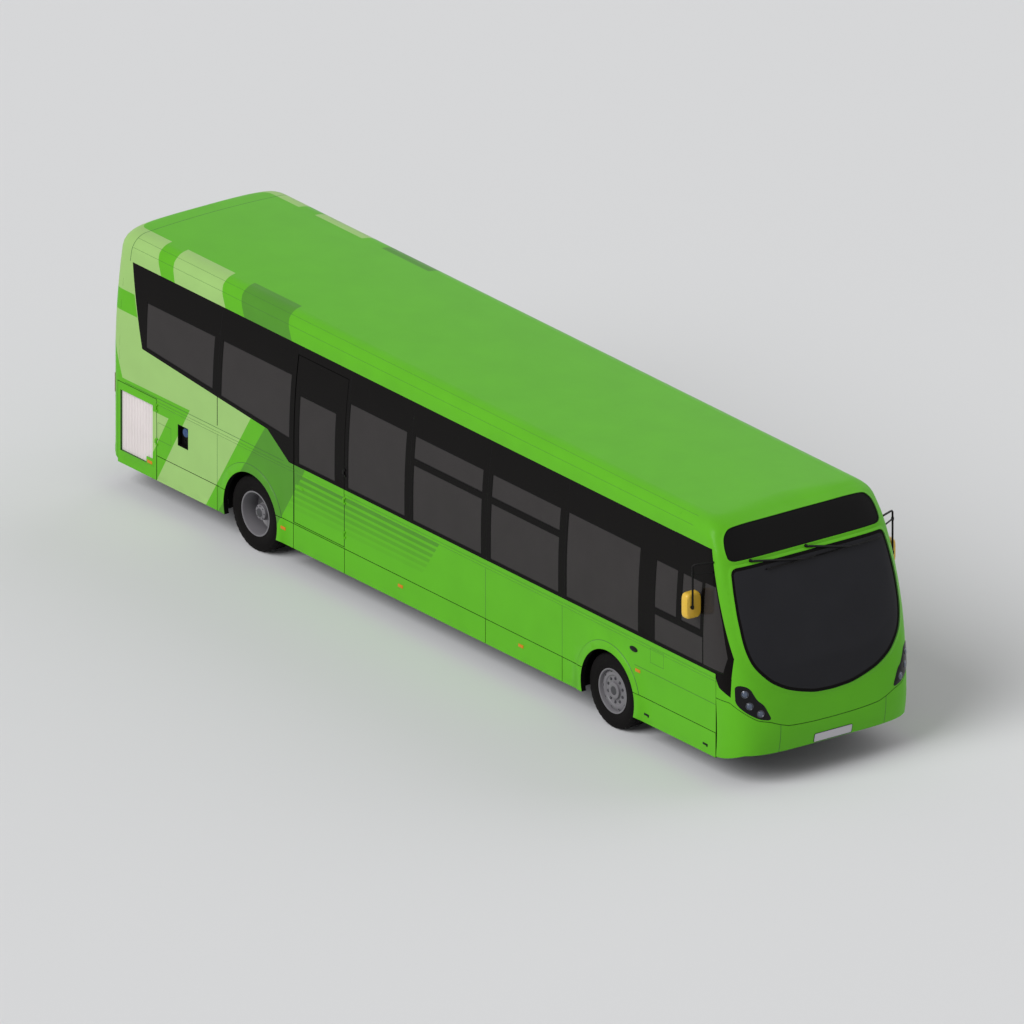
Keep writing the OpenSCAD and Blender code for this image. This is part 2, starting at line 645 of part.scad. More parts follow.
// ---- Saloon ----
module double_seat(x, z, y) {
  box([x - 10, x + 390], [y - 430, y], [z + 380, z + 460]);
  box([x - 60, x + 20], [y - 430, y], [z + 380, z + 1000]);
  box([x + 100, x + 160], [y - 330, y - 100], [z, z + 381]);
}
low_rows = [for (i = [0 : 4]) -1150 + 760 * i];
module passenger_seats() color([0.2, 0.35, 0.25]) {
  both_sides() {
    for (x = low_rows) double_seat(x, floor_z, 1135);
    double_seat(-2200, rear_floor_z, 1135);
    double_seat(-4120, rear_floor_z, 1135);
    double_seat(-4950, deck_z, 1135);
  }
}
passenger_seats();

pole_y = 340;
function ceiling(y) = roof_h - wall - (roof_h - crown_z) * pow(y / crown_y, 2);
module handrails() color([0.85, 0.65, 0.1]) both_sides() {
  for (x = [-1250 : 1000 : 2750]) translate([x, pole_y, floor_z]) cylinder(r = 16, h = ceiling(pole_y) - floor_z - 0.5);
  rod([-1250, pole_y, 1900], [2750, pole_y, 1900], 14);
}
handrails();

// ---- Axles and steering ----
kingpin_y = half_w - tyre_inset - kingpin_in;
boss_z = [tyre_r - 45, tyre_r + 45];
ear = 30;
tie_z = 195;
beam_z = [150, rail_z0];
module front_axle() color(steel) difference() {
  union() {
    both_sides() {
      translate([front_x - 45, 0, 0]) along_x(0, 90) polygon([[0, beam_z[0]], [600, beam_z[0]],
        [kingpin_y - 70, boss_z[0] + 6], [kingpin_y - 35, boss_z[0] + 6], [kingpin_y - 35, boss_z[1] - 6],
        [kingpin_y - 110, boss_z[1] - 6], [560, beam_z[1]], [0, beam_z[1]]]);
      translate([front_x, kingpin_y, boss_z[0]]) cylinder(r = 40, h = boss_z[1] - boss_z[0]);
    }
  }
  both_sides() translate([front_x, kingpin_y, 0]) cylinder(r = kingpin_r, h = 700);
}
front_axle();

module rear_axle() color(steel) {
  both_sides() {
    rod([rear_x, 0, tyre_r], [rear_x, 560, tyre_r], 70);
    rod([rear_x, 559, tyre_r], [rear_x, tyre_y + 55, tyre_r], spindle_r - pin_fit);
    translate([rear_x, rail_y, tyre_r]) cylinder(r = 60, h = rear_rail_z0 - tyre_r);
  }
  translate([rear_x, 0, tyre_r]) sphere(r = 185);
}
rear_axle();

module knuckle() {
  x = front_x;
  y = kingpin_y;
  ears = [boss_z[0] - 5 - ear, boss_z[1] + 5];
  for (z = ears) {
    translate([x, y, z]) cylinder(r = 42, h = ear);
    box([x - 42, x + 42], [y, y + 88], [z, z + ear]);
  }
  box([x - 42, x + 42], [y + 48, y + 88], [ears[0], ears[1] + ear]);
  translate([x, y, ears[0] + 1]) cylinder(r = kingpin_r - pin_fit, h = ears[1] + ear - ears[0] - 2);
  rod([x, y + 87, tyre_r], [x, tyre_y + 76, tyre_r], spindle_r - pin_fit);
  box([x - arm_len, x], [y - 20, y + 20], [ears[0], ears[0] + ear]);
  translate([x - arm_len, y, tie_z + 20]) cylinder(r = 20, h = ears[0] + ear - tie_z - 20);
  translate([x - arm_len, y, tie_z - 20]) cylinder(r = 12, h = 41);
}
module knuckle_left() color(steel) knuckle();
knuckle_left();
module knuckle_right() color(steel) sided(-1) knuckle();
knuckle_right();

// The rod's left eye fits its pin; the right eye is left open by a millimetre
module tie_rod() color(steel) difference() {
  union() {
    rod([front_x - arm_len, -kingpin_y, tie_z], [front_x - arm_len, kingpin_y, tie_z], 14);
    both_sides() translate([front_x - arm_len, kingpin_y, tie_z - 14]) cylinder(r = 26, h = 28);
  }
  translate([front_x - arm_len, kingpin_y, 0]) cylinder(r = 12 + pin_fit, h = 400);
  translate([front_x - arm_len, -kingpin_y, 0]) cylinder(r = 13, h = 400);
}
tie_rod();

// ---- Wheels: drawn about +Z, outer side up, then laid on their axles ----
tyre_y = half_w - tyre_inset - tyre_w / 2;
module on_axle(side, x, y) sided(side) translate([x, y, tyre_r]) rotate([-90, 0, 0]) children();
module tyre() rotate_extrude($fn = 96) {
  h = tyre_w / 2;
  polygon([[rim_r, -h + 22], [rim_r + 14, -h + 16], [rim_r + 60, -h + 2], [tyre_r - 60, -h], [tyre_r - 18, -h + 9],
    [tyre_r - 4, -h + 24], [tyre_r, -h + 45], [tyre_r, h - 45], [tyre_r - 4, h - 24], [tyre_r - 18, h - 9],
    [tyre_r - 60, h], [rim_r + 60, h - 2], [rim_r + 14, h - 16], [rim_r, h - 22]]);
}
module barrel() rotate_extrude($fn = 96) {
  h = tyre_w / 2 - 12;
  polygon([[rim_r - 12, -h], [rim_r + 10, -h], [rim_r + 10, -h + 5], [rim_r - 0.3, -h + 5],
    [rim_r - 0.3, h - 5], [rim_r + 10, h - 5], [rim_r + 10, h], [rim_r - 12, h]]);
}
bolt_circle = 137;
module bolts(z) for (i = [0 : 9]) rotate([0, 0, 36 * i]) translate([bolt_circle, 0, z]) cylinder(r = 14, h = 16);
module rim_front() {
  barrel();
  difference() {
    union() {
      rotate_extrude($fn = 96) polygon([[0, 40], [rim_r - 11, 58], [rim_r - 11, 74], [205, 88], [175, 92], [165, 80], [0, 80]]);
      translate([0, 0, 30]) cylinder(r = 95, h = 80);
      bolts(79);
    }
    translate([0, 0, -200]) cylinder(r = spindle_r, h = 290);
  }
}
module rims_rear() {
  for (z = [0, -twin_pitch]) translate([0, 0, z]) barrel();
  difference() {
    union() {
      translate([0, 0, -twin_pitch / 2]) rotate_extrude($fn = 96) polygon([[0, -12], [150, -12], [rim_r - 11, -38],
        [rim_r - 11, -62], [rim_r - 11.5, -62], [160, -30], [0, -30]]);
      translate([0, 0, -twin_pitch / 2]) rotate_extrude($fn = 96) polygon([[0, -13], [150, -13], [rim_r - 11, 38],
        [rim_r - 11, 56], [160, 6], [0, 6]]);
      translate([0, 0, -twin_pitch / 2 - 30]) cylinder(r = 105, h = 255);
      translate([0, 0, -twin_pitch / 2 - 75]) bolts(80);
    }
    translate([0, 0, -500]) cylinder(r = spindle_r, h = twin_pitch / 2 + 415);
  }
}
module tyre_front_left() color(black) on_axle(1, front_x, tyre_y) tyre();
tyre_front_left();
module rim_front_left() color(steel) on_axle(1, front_x, tyre_y) rim_front();
rim_front_left();
module tyre_front_right() color(black) on_axle(-1, front_x, tyre_y) tyre();
tyre_front_right();
module rim_front_right() color(steel) on_axle(-1, front_x, tyre_y) rim_front();
rim_front_right();
module tyres_rear_left() color(black) for (y = [tyre_y, tyre_y - twin_pitch]) on_axle(1, rear_x, y) tyre();
tyres_rear_left();
module rims_rear_left() color(steel) on_axle(1, rear_x, tyre_y) rims_rear();
rims_rear_left();
module tyres_rear_right() color(black) for (y = [tyre_y, tyre_y - twin_pitch]) on_axle(-1, rear_x, y) tyre();
tyres_rear_right();
module rims_rear_right() color(steel) on_axle(-1, rear_x, tyre_y) rims_rear();
rims_rear_right();
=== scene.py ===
"""Looks of a single-deck low-floor city bus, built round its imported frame.

Lengths are in metres in the frame of the bus: +X forward, +Y to the kerb
side, +Z up, with the origin on the ground in the middle of the bus.
"""

import json
import logging
import math
from collections import Counter
from dataclasses import dataclass, field
from enum import Enum
from typing import Any, Callable, Sequence

import bpy
import numpy as np
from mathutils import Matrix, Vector
from mathutils.geometry import delaunay_2d_cdt

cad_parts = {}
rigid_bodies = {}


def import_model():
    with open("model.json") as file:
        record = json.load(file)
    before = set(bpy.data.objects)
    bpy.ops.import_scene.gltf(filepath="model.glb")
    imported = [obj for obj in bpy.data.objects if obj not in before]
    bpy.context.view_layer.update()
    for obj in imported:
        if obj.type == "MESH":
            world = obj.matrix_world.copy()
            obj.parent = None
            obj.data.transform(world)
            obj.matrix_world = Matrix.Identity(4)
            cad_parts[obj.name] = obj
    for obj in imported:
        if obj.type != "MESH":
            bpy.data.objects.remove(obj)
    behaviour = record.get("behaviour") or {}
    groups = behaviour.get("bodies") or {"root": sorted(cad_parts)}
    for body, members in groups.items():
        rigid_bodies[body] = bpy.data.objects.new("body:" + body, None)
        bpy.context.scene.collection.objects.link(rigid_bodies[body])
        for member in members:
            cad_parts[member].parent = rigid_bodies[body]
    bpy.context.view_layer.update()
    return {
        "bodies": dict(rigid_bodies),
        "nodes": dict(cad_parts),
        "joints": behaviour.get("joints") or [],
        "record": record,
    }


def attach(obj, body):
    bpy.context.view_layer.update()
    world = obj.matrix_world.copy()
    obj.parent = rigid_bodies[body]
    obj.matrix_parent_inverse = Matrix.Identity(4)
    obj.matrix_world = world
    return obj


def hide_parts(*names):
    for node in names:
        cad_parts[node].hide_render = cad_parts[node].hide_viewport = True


Point = tuple[float, float]
Loop = Sequence[Point]
Array = np.ndarray
Surface = Callable[[Array, Array], Array]

log = logging.getLogger("bus")


# ---- Finishes ----


def linear(colour: str) -> tuple[float, float, float, float]:
    """Turns an sRGB hex colour into linear RGBA.

    Args:
        colour: six hex digits, with a leading hash.

    Returns:
        The linear colour with an alpha of 1.
    """
    parts = [int(colour[i : i + 2], 16) / 255 for i in (1, 3, 5)]
    r, g, b = (c / 12.92 if c <= 0.04045 else ((c + 0.055) / 1.055) ** 2.4 for c in parts)
    return (r, g, b, 1.0)


def add_node(
    tree: bpy.types.NodeTree, kind: str, inputs: dict[str | int, Any] | None = None, **settings: Any
) -> bpy.types.Node:
    """Adds a shader node with its settings and links.

    Args:
        tree: the node tree it goes into.
        kind: the node's type name.
        inputs: a value or another node's output for each named socket.
        **settings: attributes of the node.

    Returns:
        The new node.
    """
    node = tree.nodes.new(kind)
    for name, value in settings.items():
        setattr(node, name, value)
    for name, value in (inputs or {}).items():
        if isinstance(value, bpy.types.NodeSocket):
            tree.links.new(value, node.inputs[name])
        else:
            node.inputs[name].default_value = value
    return node


class Grain(Enum):
    """How a surface was made, which decides the pattern of its relief."""

    SPRAYED = "sprayed"
    MOULDED = "moulded"
    CAST = "cast"
    WOVEN = "woven"
    SMOOTH = "smooth"


@dataclass(frozen=True)
class Finish:
    """A real material with its colour, gloss and relief.

    Attributes:
        name: the material's name.
        colour: its sRGB hex colour.
        roughness: its mean roughness.
        metallic: 1 for bare metal.
        ior: index of refraction.
        specular: level of the reflection at right angles.
        coat: weight of a clear coat.
        transmission: share of light that passes.
        sheen: weight of fabric sheen.
        grain: how the surface was made.
        grain_mm: size of one grain or thread.
        relief_mm: height of the grain.
        tone: share by which the colour wanders.
    """

    name: str
    colour: str
    roughness: float = 0.5
    metallic: float = 0.0
    ior: float = 1.5
    specular: float = 0.5
    coat: float = 0.0
    transmission: float = 0.0
    sheen: float = 0.0
    grain: Grain = Grain.SPRAYED
    grain_mm: float = 8.0
    relief_mm: float = 0.02
    tone: float = 0.03

    def _height(self, tree: bpy.types.NodeTree, place: bpy.types.NodeSocket) -> bpy.types.NodeSocket:
        """Builds the relief pattern.

        Args:
            tree: the material's node tree.
            place: the position in metres.

        Returns:
            The pattern's height from 0 to 1.
        """
        scale = 1000.0 / self.grain_mm
        if self.grain is Grain.MOULDED:
            node = add_node(tree, "ShaderNodeTexVoronoi", {"Vector": place, "Scale": scale})
            return node.outputs["Distance"]
        if self.grain is Grain.WOVEN:
            waves = [
                add_node(
                    tree, "ShaderNodeTexWave", {"Vector": place, "Scale": 0.314 * scale},
                    bands_direction=way,
                ).outputs["Fac"]
                for way in ("X", "DIAGONAL")
            ]
            node = add_node(tree, "ShaderNodeMath", {0: waves[0], 1: waves[1]}, operation="MULTIPLY")
            return node.outputs[0]
        detail = {Grain.SPRAYED: 1.0, Grain.CAST: 6.0, Grain.SMOOTH: 0.0}[self.grain]
        node = add_node(tree, "ShaderNodeTexNoise", {"Vector": place, "Scale": scale, "Detail": detail})
        return node.outputs["Fac"]

    def material(self) -> bpy.types.Material:
        """Makes the material, or finds it if it is made already."""
        made = bpy.data.materials.get(self.name)
        if made:
            return made
        made = bpy.data.materials.new(self.name)
        made.use_nodes = True
        tree = made.node_tree
        tree.nodes.clear()
        place = add_node(tree, "ShaderNodeTexCoord").outputs["Object"]
        height = self._height(tree, place)
        drift = add_node(tree, "ShaderNodeTexNoise", {"Vector": place, "Scale": 2.5, "Detail": 2.0})
        base = linear(self.colour)
        low, high = ([c * (1 + s * self.tone) for c in base[:3]] + [1.0] for s in (-1, 1))
        tint = self._tint(tree, drift.outputs["Fac"], low, high)
        rough = add_node(
            tree, "ShaderNodeMapRange",
            {"Value": height, "To Min": max(self.roughness - 0.04, 0.02), "To Max": self.roughness + 0.04},
        )
        bump = add_node(
            tree, "ShaderNodeBump", {"Height": height, "Distance": self.relief_mm / 1000, "Strength": 1.0}
        )
        shader = add_node(
            tree, "ShaderNodeBsdfPrincipled",
            {
                "Base Color": tint, "Roughness": rough.outputs[0], "Normal": bump.outputs[0],
                "Metallic": self.metallic, "IOR": self.ior, "Specular IOR Level": self.specular,
                "Coat Weight": self.coat,
                "Coat Roughness": 0.06, "Transmission Weight": self.transmission,
                "Sheen Weight": self.sheen,
            },
        )
        add_node(tree, "ShaderNodeOutputMaterial", {"Surface": shader.outputs[0]})
        return made

    @staticmethod
    def _tint(
        tree: bpy.types.NodeTree, share: bpy.types.NodeSocket, low: list[float], high: list[float]
    ) -> bpy.types.NodeSocket:
        """Blends two colours by a share and returns the blend's output."""
        ramp = add_node(tree, "ShaderNodeValToRGB", {"Fac": share})
        ramp.color_ramp.elements[0].position = 0.3
        ramp.color_ramp.elements[0].color = low
        ramp.color_ramp.elements[1].position = 0.7
        ramp.color_ramp.elements[1].color = high
        return ramp.outputs[0]


# Two-pack polyurethane sprayed over composite panels: a clear gloss with faint orange peel
GREEN, LIGHT, DARK, *STRIPES = (
    Finish(f"polyurethane_sprayed_{name}", colour, 0.42, specular=0.12, coat=0.06)
    for name, colour in (
        ("green", "#5BAE1E"), ("light_green", "#98C070"), ("dark_green", "#4D8C28"),
        ("stripe_0", "#4E8E27"), ("stripe_1", "#509425"), ("stripe_2", "#529923"),
        ("stripe_3", "#549E22"), ("stripe_4", "#57A420"), ("stripe_5", "#59A91F"),
    )
)
# Ceramic print on the back of flush glass: deep black with a hard gloss
BAND = Finish(
    "glass_printed_black", "#0D0B0A", 0.12, specular=0.06, grain=Grain.SMOOTH, grain_mm=400, relief_mm=0.1,
    tone=0.06,
)
# Tinted float glass: grey and almost closed to the eye in daylight
PANE = Finish(
    "float_glass_tinted", "#353232", 0.06, specular=0.1, transmission=0.08, grain=Grain.SMOOTH, grain_mm=500,
    relief_mm=0.15, tone=0.05,
)
SCREEN = Finish(
    "laminated_glass_tinted", "#222226", 0.06, specular=0.1, transmission=0.08, grain=Grain.SMOOTH, grain_mm=600,
    relief_mm=0.15, tone=0.06,
)
# EPDM extruded round the panes and in the panel joints: dull and black; the rim faces of the walls, skirts and
# emergency door use it too, as painted shade in their gaps
GASKET_AND_SHADE = Finish("epdm_extruded_black_and_painted_shade", "#090808", 0.6, specular=0.1, grain=Grain.MOULDED, grain_mm=3, relief_mm=0.1)
# Dark green sealant of the panel joints; also painted shade: thin lines along the belt ridges and under the wheel lips,
# and the panels' rim faces in the gaps between them
JOINT_AND_SHADE = Finish("sealant_dark_green_and_painted_shade", "#2C5A17", 0.6, grain=Grain.MOULDED, grain_mm=4, relief_mm=0.1)
# Vinyl-faced aluminium lining panels: pale grey and matte
LINING = Finish("vinyl_faced_lining_grey", "#8F9190", 0.6, grain=Grain.MOULDED, grain_mm=5, relief_mm=0.1)
# ABS moulded with a fine leather-like texture for trim that weathers
TRIM = Finish("abs_moulded_black", "#0C0B0B", 0.45, specular=0.15, grain=Grain.MOULDED, grain_mm=4, relief_mm=0.15)
MIRROR_SHELL = Finish("abs_moulded_yellow", "#D9B038", 0.35, grain=Grain.MOULDED, grain_mm=4, relief_mm=0.08)
SILVERED = Finish("glass_silvered", "#C9CDD0", 0.04, metallic=1.0, grain=Grain.SMOOTH, grain_mm=200, relief_mm=0.02)
# Polycarbonate lenses, hard-coated: wet-looking gloss over colour
LENS_BLACK = Finish("polycarbonate_smoked", "#0A090A", 0.1, specular=0.15, coat=0.1, grain=Grain.SMOOTH, grain_mm=300)
LENS_CLEAR = Finish("polycarbonate_clear", "#454F62", 0.1, coat=0.3, grain=Grain.SMOOTH, grain_mm=60)
LENS_RED, LENS_AMBER = (
    Finish(
        f"polycarbonate_{name}", colour, 0.15, specular=0.25, coat=0.1, grain=Grain.MOULDED, grain_mm=9,
        relief_mm=0.3,
    )
    for name, colour in (("red", "#6A0E10"), ("amber", "#C97B14"))
)
REFLECTOR = Finish("aluminium_vapour_coated", "#5A5C62", 0.2, metallic=1.0, grain=Grain.SMOOTH, grain_mm=40)
GRILLE = Finish("aluminium_powder_coated_white", "#E4DCDC", 0.45, grain=Grain.SPRAYED, grain_mm=5, relief_mm=0.05)
CAP_BLUE = Finish("polypropylene_moulded_blue", "#1F3F6E", 0.4, grain=Grain.MOULDED, grain_mm=5, relief_mm=0.1)
PLATE = Finish("acrylic_plate_white", "#B9B6BD", 0.3, coat=0.2, grain=Grain.SMOOTH, grain_mm=100)
# Natural rubber and carbon black, cured in a mould: near black with a bloom of grey
TYRE = Finish(
    "rubber_cured_black", "#0D0B0B", 0.75, specular=0.1, grain=Grain.CAST, grain_mm=12, relief_mm=0.3, tone=0.12
)
# Pressed steel discs under silver-grey enamel
RIM = Finish(
    "steel_pressed_enamelled_grey", "#727074", 0.4, specular=0.25, grain=Grain.SPRAYED, grain_mm=6,
    relief_mm=0.05, tone=0.06,
)
RIM_DARK = Finish("steel_bolt_zinc_grey", "#4C4B4F", 0.45, metallic=0.6, grain=Grain.CAST, grain_mm=5, relief_mm=0.1)
# Waxed black steel of the chassis; also painted shade: the dark backs of the cowl, bumpers, skirts and engine cover,
# and the discs in the wheels' hand holes
CHASSIS_AND_SHADE = Finish("steel_welded_black_waxed_and_painted_shade", "#1A1A1B", 0.5, grain=Grain.CAST, grain_mm=25, relief_mm=0.4, tone=0.2)
IRON = Finish("iron_cast_dark", "#2B2A2B", 0.65, grain=Grain.CAST, grain_mm=14, relief_mm=0.6, tone=0.25)
FLOOR_VINYL = Finish(
    "vinyl_rolled_speckled_grey", "#45474A", 0.6, grain=Grain.CAST, grain_mm=9, relief_mm=0.1, tone=0.2
)
RAIL = Finish("steel_powder_coated_yellow", "#D8A21C", 0.35, grain=Grain.SPRAYED, grain_mm=5, relief_mm=0.05)
MOQUETTE = Finish(
    "moquette_woven_green", "#2C5A45", 0.85, sheen=0.4, grain=Grain.WOVEN, grain_mm=6, relief_mm=0.6, tone=0.15
)
SEAT_SHELL = Finish("polypropylene_moulded_grey", "#3A3C40", 0.5, grain=Grain.MOULDED, grain_mm=5, relief_mm=0.1)
DASH = Finish("polyurethane_skinned_grey", "#232427", 0.6, grain=Grain.MOULDED, grain_mm=5, relief_mm=0.2)
ENGINE_PAINT = Finish(
    "iron_cast_painted_grey", "#55585C", 0.55, grain=Grain.CAST, grain_mm=18, relief_mm=0.5, tone=0.15
)


# ---- Measures that several pieces share ----

# Wheel centres: x of the front and rear axles, and their height
AXLES: Point = (3.34, -3.2)
AXLE_Z = 0.433
# Heights of the glass band's foot, the tail panel's foot and the two belt ridges
BAND_FOOT = 1.278
TAIL_FOOT = 1.25
RIDGES: Point = (1.19, 1.222)
# Recess of the fuel filler by x and z
FILLER = (-4.535, -4.345, 0.829, 1.079)
# Pin of the engine cover by x and z
LID_PIN: Point = (-5.842, 1.242)
# Foot and top of the side panes, a pane's thickness, and how far it stands off its opening all round
PANE_FOOT, PANE_TOP = 1.31, 2.31
PANE_THICK = 0.006
PANE_GAP = 0.001
SIDES = {1: "left", -1: "right"}


# ---- Form of the body ----


@dataclass(frozen=True)
class BodyForm:
    """Outer skin of the bus: one cross-section, with a nose and a tail of rounded plan."""

    half_length: float = 5.85
    half_width: float = 1.22
    height: float = 2.975
    waist: float = 1.545
    side_radius: float = 7.52
    cove_start: float = 2.765
    cove_radius: float = 0.22
    nose_level: float = 0.7
    nose_corner: float = 5.0
    tail_corner: float = 5.52
    quarter: float = 1.9
    floor_level: float = 0.2
    curve: list[Array] = field(default_factory=list)

    def __post_init__(self) -> None:
        """Tabulates the cross-section by its length along the skin."""
        angle = math.asin((self.cove_start - self.waist) / self.side_radius)
        lean = self.half_width - (self.cove_start - self.waist) ** 2 / (2 * self.side_radius)
        cy = lean - self.cove_radius * math.cos(angle)
        cz = self.cove_start - self.cove_radius * math.sin(angle)
        z = np.linspace(self.floor_level, self.cove_start, 900)
        y = self.half_width - np.maximum(z - self.waist, 0) ** 2 / (2 * self.side_radius)
        a = np.linspace(angle, math.radians(86.9), 200)[1:]
        y, z = np.append(y, cy + self.cove_radius * np.cos(a)), np.append(z, cz + self.cove_radius * np.sin(a))
        edge, top = y[-1], z[-1]
        w = np.linspace(edge, 0, 300)[1:]
        y, z = np.append(y, w), np.append(z, self.height - (self.height - top) * (w / edge) ** 2)
        length = self.floor_level + np.append(0, np.cumsum(np.hypot(np.diff(y), np.diff(z))))
        self.curve.extend([length, y, z])

    @property
    def top(self) -> float:
        """Length along the skin from the ground to the middle of the roof."""
        return float(self.curve[0][-1])

    @property
    def crown(self) -> float:
        """Length along the skin to the edge of the roof's crown."""
        return float(self.curve[0][-300])

    def girth(self, z: Array | float) -> Array:
        """Length along the skin at height z."""
        return np.interp(z, self.curve[2], self.curve[0])

    def section(self, v: Array) -> tuple[Array, Array]:
        """Half width, negative past the middle of the roof, and height at a length along the skin."""
        w = np.minimum(v, 2 * self.top - v)
        y, z = np.interp(w, self.curve[0], self.curve[1]), np.interp(w, self.curve[0], self.curve[2])
        return np.where(v > self.top, -y, y), z

    def _rounding(self, z: Array, start: float, length: float) -> Array:
        """How far the end's top edge rolls back at height z."""
        share = np.clip((z - start) / (self.height + 0.001 - start), 0, 1)
        return length * (1 - np.sqrt(np.maximum(0, 1 - share**2)))

    def end_plan(self, end: int, z: Array) -> tuple[Array, Array, Array]:
        """Plan of the nose (end = 1) or tail (end = -1) at height z.

        Args:
            end: 1 for the nose and -1 for the tail.
            z: heights.

        Returns:
            The centre of the rounded plan, its length and its power.
        """
        z = np.asarray(z, float)
        if end < 0:
            tip = self.half_length - 0.008 - self._rounding(z, 2.79, 0.15)
            return np.full_like(z, self.tail_corner), tip - self.tail_corner, np.full_like(z, 4.5)
        mm = 1000 * (z - self.nose_level)
        rake = np.where(mm < 0, 0.00045 * mm**2, 6.84e-4 * np.maximum(mm, 0) ** 1.8) / 1000
        tip = self.half_length - rake - self._rounding(z, 2.85, 0.3)
        length = np.maximum(tip - self.nose_corner, 0.3)
        power = np.interp(z, [0.3, 0.9, 2.0, 2.47, 2.975], [4.6, 4.6, 5.4, 5.9, 4.8])
        return tip - length, length, power

    def side(self, hand: int) -> Surface:
        """Skin of the straight body by x and girth, on the left (1) or right (-1)."""

        def skin(u: Array, v: Array) -> Array:
            y, z = self.section(v)
            return np.stack([u, hand * y, z], 1)

        return skin

    def cap(self, end: int) -> Surface:
        """Skin of the nose or tail by a length round the plan and the girth."""

        def skin(u: Array, v: Array) -> Array:
            b, z = self.section(np.minimum(v, self.top))
            centre, length, power = self.end_plan(end, z)
            angle = np.minimum(np.abs(u) / self.quarter, 1) * math.pi / 2
            c, s = np.cos(angle), np.sin(angle)
            reach = (c**power + s**power) ** (-1 / power)
            x = centre + length * reach * c - np.maximum(np.abs(u) - self.quarter, 0)
            return np.stack([end * x, np.sign(u) * b * reach * s, z], 1)

        return skin

    def nose_point(self, y: float, z: float) -> Array:
        """Point of the nose's skin that is seen from the front at y and z."""
        (u, v), = self.cap_by_front(1, [(y, z)])
        return self.cap(1)(np.array([u]), np.array([v]))[0]

    def _turn(self, p: Array, q: Array) -> Array:
        """Length round the plan for the shares p along and q across."""
        return np.arctan2(q, p) / (math.pi / 2) * self.quarter

    def cap_by_front(self, end: int, loop: Loop) -> list[Point]:
        """Turns a loop seen from the front, in y and z, into lengths on a cap."""
        a = np.array(loop, float)
        b, _ = self.section(self.girth(a[:, 1]))
        _, _, power = self.end_plan(end, a[:, 1])
        q = np.minimum(np.abs(a[:, 0]) / b, 0.9999)
        u = np.sign(a[:, 0]) * self._turn((1 - q**power) ** (1 / power), q)
        return list(zip(u.tolist(), self.girth(a[:, 1]).tolist()))

    def cap_by_side(self, end: int, loop: Loop, hand: int) -> list[Point]:
        """Turns a loop seen from the side, in x and z, into lengths on a cap."""
        a = np.array(loop, float)
        centre, length, power = self.end_plan(end, a[:, 1])
        p = (end * a[:, 0] - centre) / length
        inner = np.clip(p, 0, 0.9999)
        u = self._turn(inner, (1 - inner**power) ** (1 / power))
        u = np.where(p < 0, self.quarter - p * length, u)
        return list(zip((hand * u).tolist(), self.girth(a[:, 1]).tolist()))


FORM = BodyForm()


# ---- Mesh tools ----


def fine(loop: Loop, step: float, closed: bool = True) -> list[Point]:
    """Adds points along a loop so that none of its edges is longer than a step."""
    out: list[Point] = []
    count = len(loop) if closed else len(loop) - 1
    for i in range(count):
        (x0, y0), (x1, y1) = loop[i], loop[(i + 1) % len(loop)]
        n = max(1, math.ceil(math.hypot(x1 - x0, y1 - y0) / step))
        out += [(x0 + (x1 - x0) * k / n, y0 + (y1 - y0) * k / n) for k in range(n)]
    return out if closed else out + [tuple(loop[-1])]


def eased(loop: Loop, rounds: int = 2, cut: float = 0.25, reach: float = 1.0) -> list[Point]:
    """Rounds a loop's corners by cutting them, no more than a reach from each corner."""
    pts = [tuple(p) for p in loop]
    for _ in range(rounds):
        out: list[Point] = []
        for i, (x0, y0) in enumerate(pts):
            x1, y1 = pts[(i + 1) % len(pts)]
            share = min(cut, reach / max(math.hypot(x1 - x0, y1 - y0), 1e-9))
            out += [(x0 + (x1 - x0) * s, y0 + (y1 - y0) * s) for s in (share, 1 - share)]
        pts, reach = out, reach / 2
    return pts


def mirrored(half: Loop) -> list[Point]:
    """Completes a loop that is given for one side of the middle."""
    return list(half) + [(-x, z) for x, z in reversed(half) if abs(x) > 1e-6]


def box_loop(x0: float, x1: float, z0: float, z1: float) -> list[Point]:
    """Four corners of an upright rectangle."""
    return [(x0, z0), (x1, z0), (x1, z1), (x0, z1)]


def circle(x: float, z: float, r: float, count: int = 48) -> list[Point]:
    """Points of a circle."""
    turn = [2 * math.pi * i / count for i in range(count)]
    return [(x + r * math.cos(a), z + r * math.sin(a)) for a in turn]


def inside(points: Array, loop: Loop) -> Array:
    """Tells which points lie inside a loop.

    Args:
        points: an array of points, one a row.
        loop: the corners of the loop.

    Returns:
        True for each point that is inside.
    """
    a = np.array(loop, float)
    b = np.roll(a, -1, 0)
    x, y = points[:, :1], points[:, 1:2]
    crosses = (a[:, 1] > y) != (b[:, 1] > y)
    rise = np.where(b[:, 1] == a[:, 1], 1e-12, b[:, 1] - a[:, 1])
    at = a[:, 0] + (y - a[:, 1]) * (b[:, 0] - a[:, 0]) / rise
    return (crosses & (x < at)).sum(1) % 2 == 1


def distance(points: Array, loop: Loop) -> Array:
    """Distance of each point from a loop's edges."""
    a = np.array(loop, float)
    d = np.roll(a, -1, 0) - a
    near = np.full(len(points), 1e9)
    for start, step in zip(a, d):
        t = np.clip((points - start) @ step / max(step @ step, 1e-12), 0, 1)
        near = np.minimum(near, np.hypot(*(points - start - t[:, None] * step).T))
    return near


def depth_share(u: Array, v: Array, loop: Loop, width: float) -> Array:
    """Distance of each u and v from a loop's edges as a share of a width, at most 1."""
    return np.clip(distance(np.stack([u, v], 1), loop) / width, 0, 1)


def dress(obj: bpy.types.Object, body: str, slot: str, *nodes: str) -> bpy.types.Object:
    """Puts a piece on its body, hides the CAD nodes it replaces and logs its face count.

    Args:
        obj: the piece.
        body: the body it moves with.
        slot: the record's material slot; not used.
        *nodes: the CAD nodes it replaces.

    Returns:
        The piece.
    """
    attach(obj, body)
    if nodes:
        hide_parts(*nodes)
    log.info("%s rides on %s with %d faces", obj.name, body, len(obj.data.polygons))
    return obj


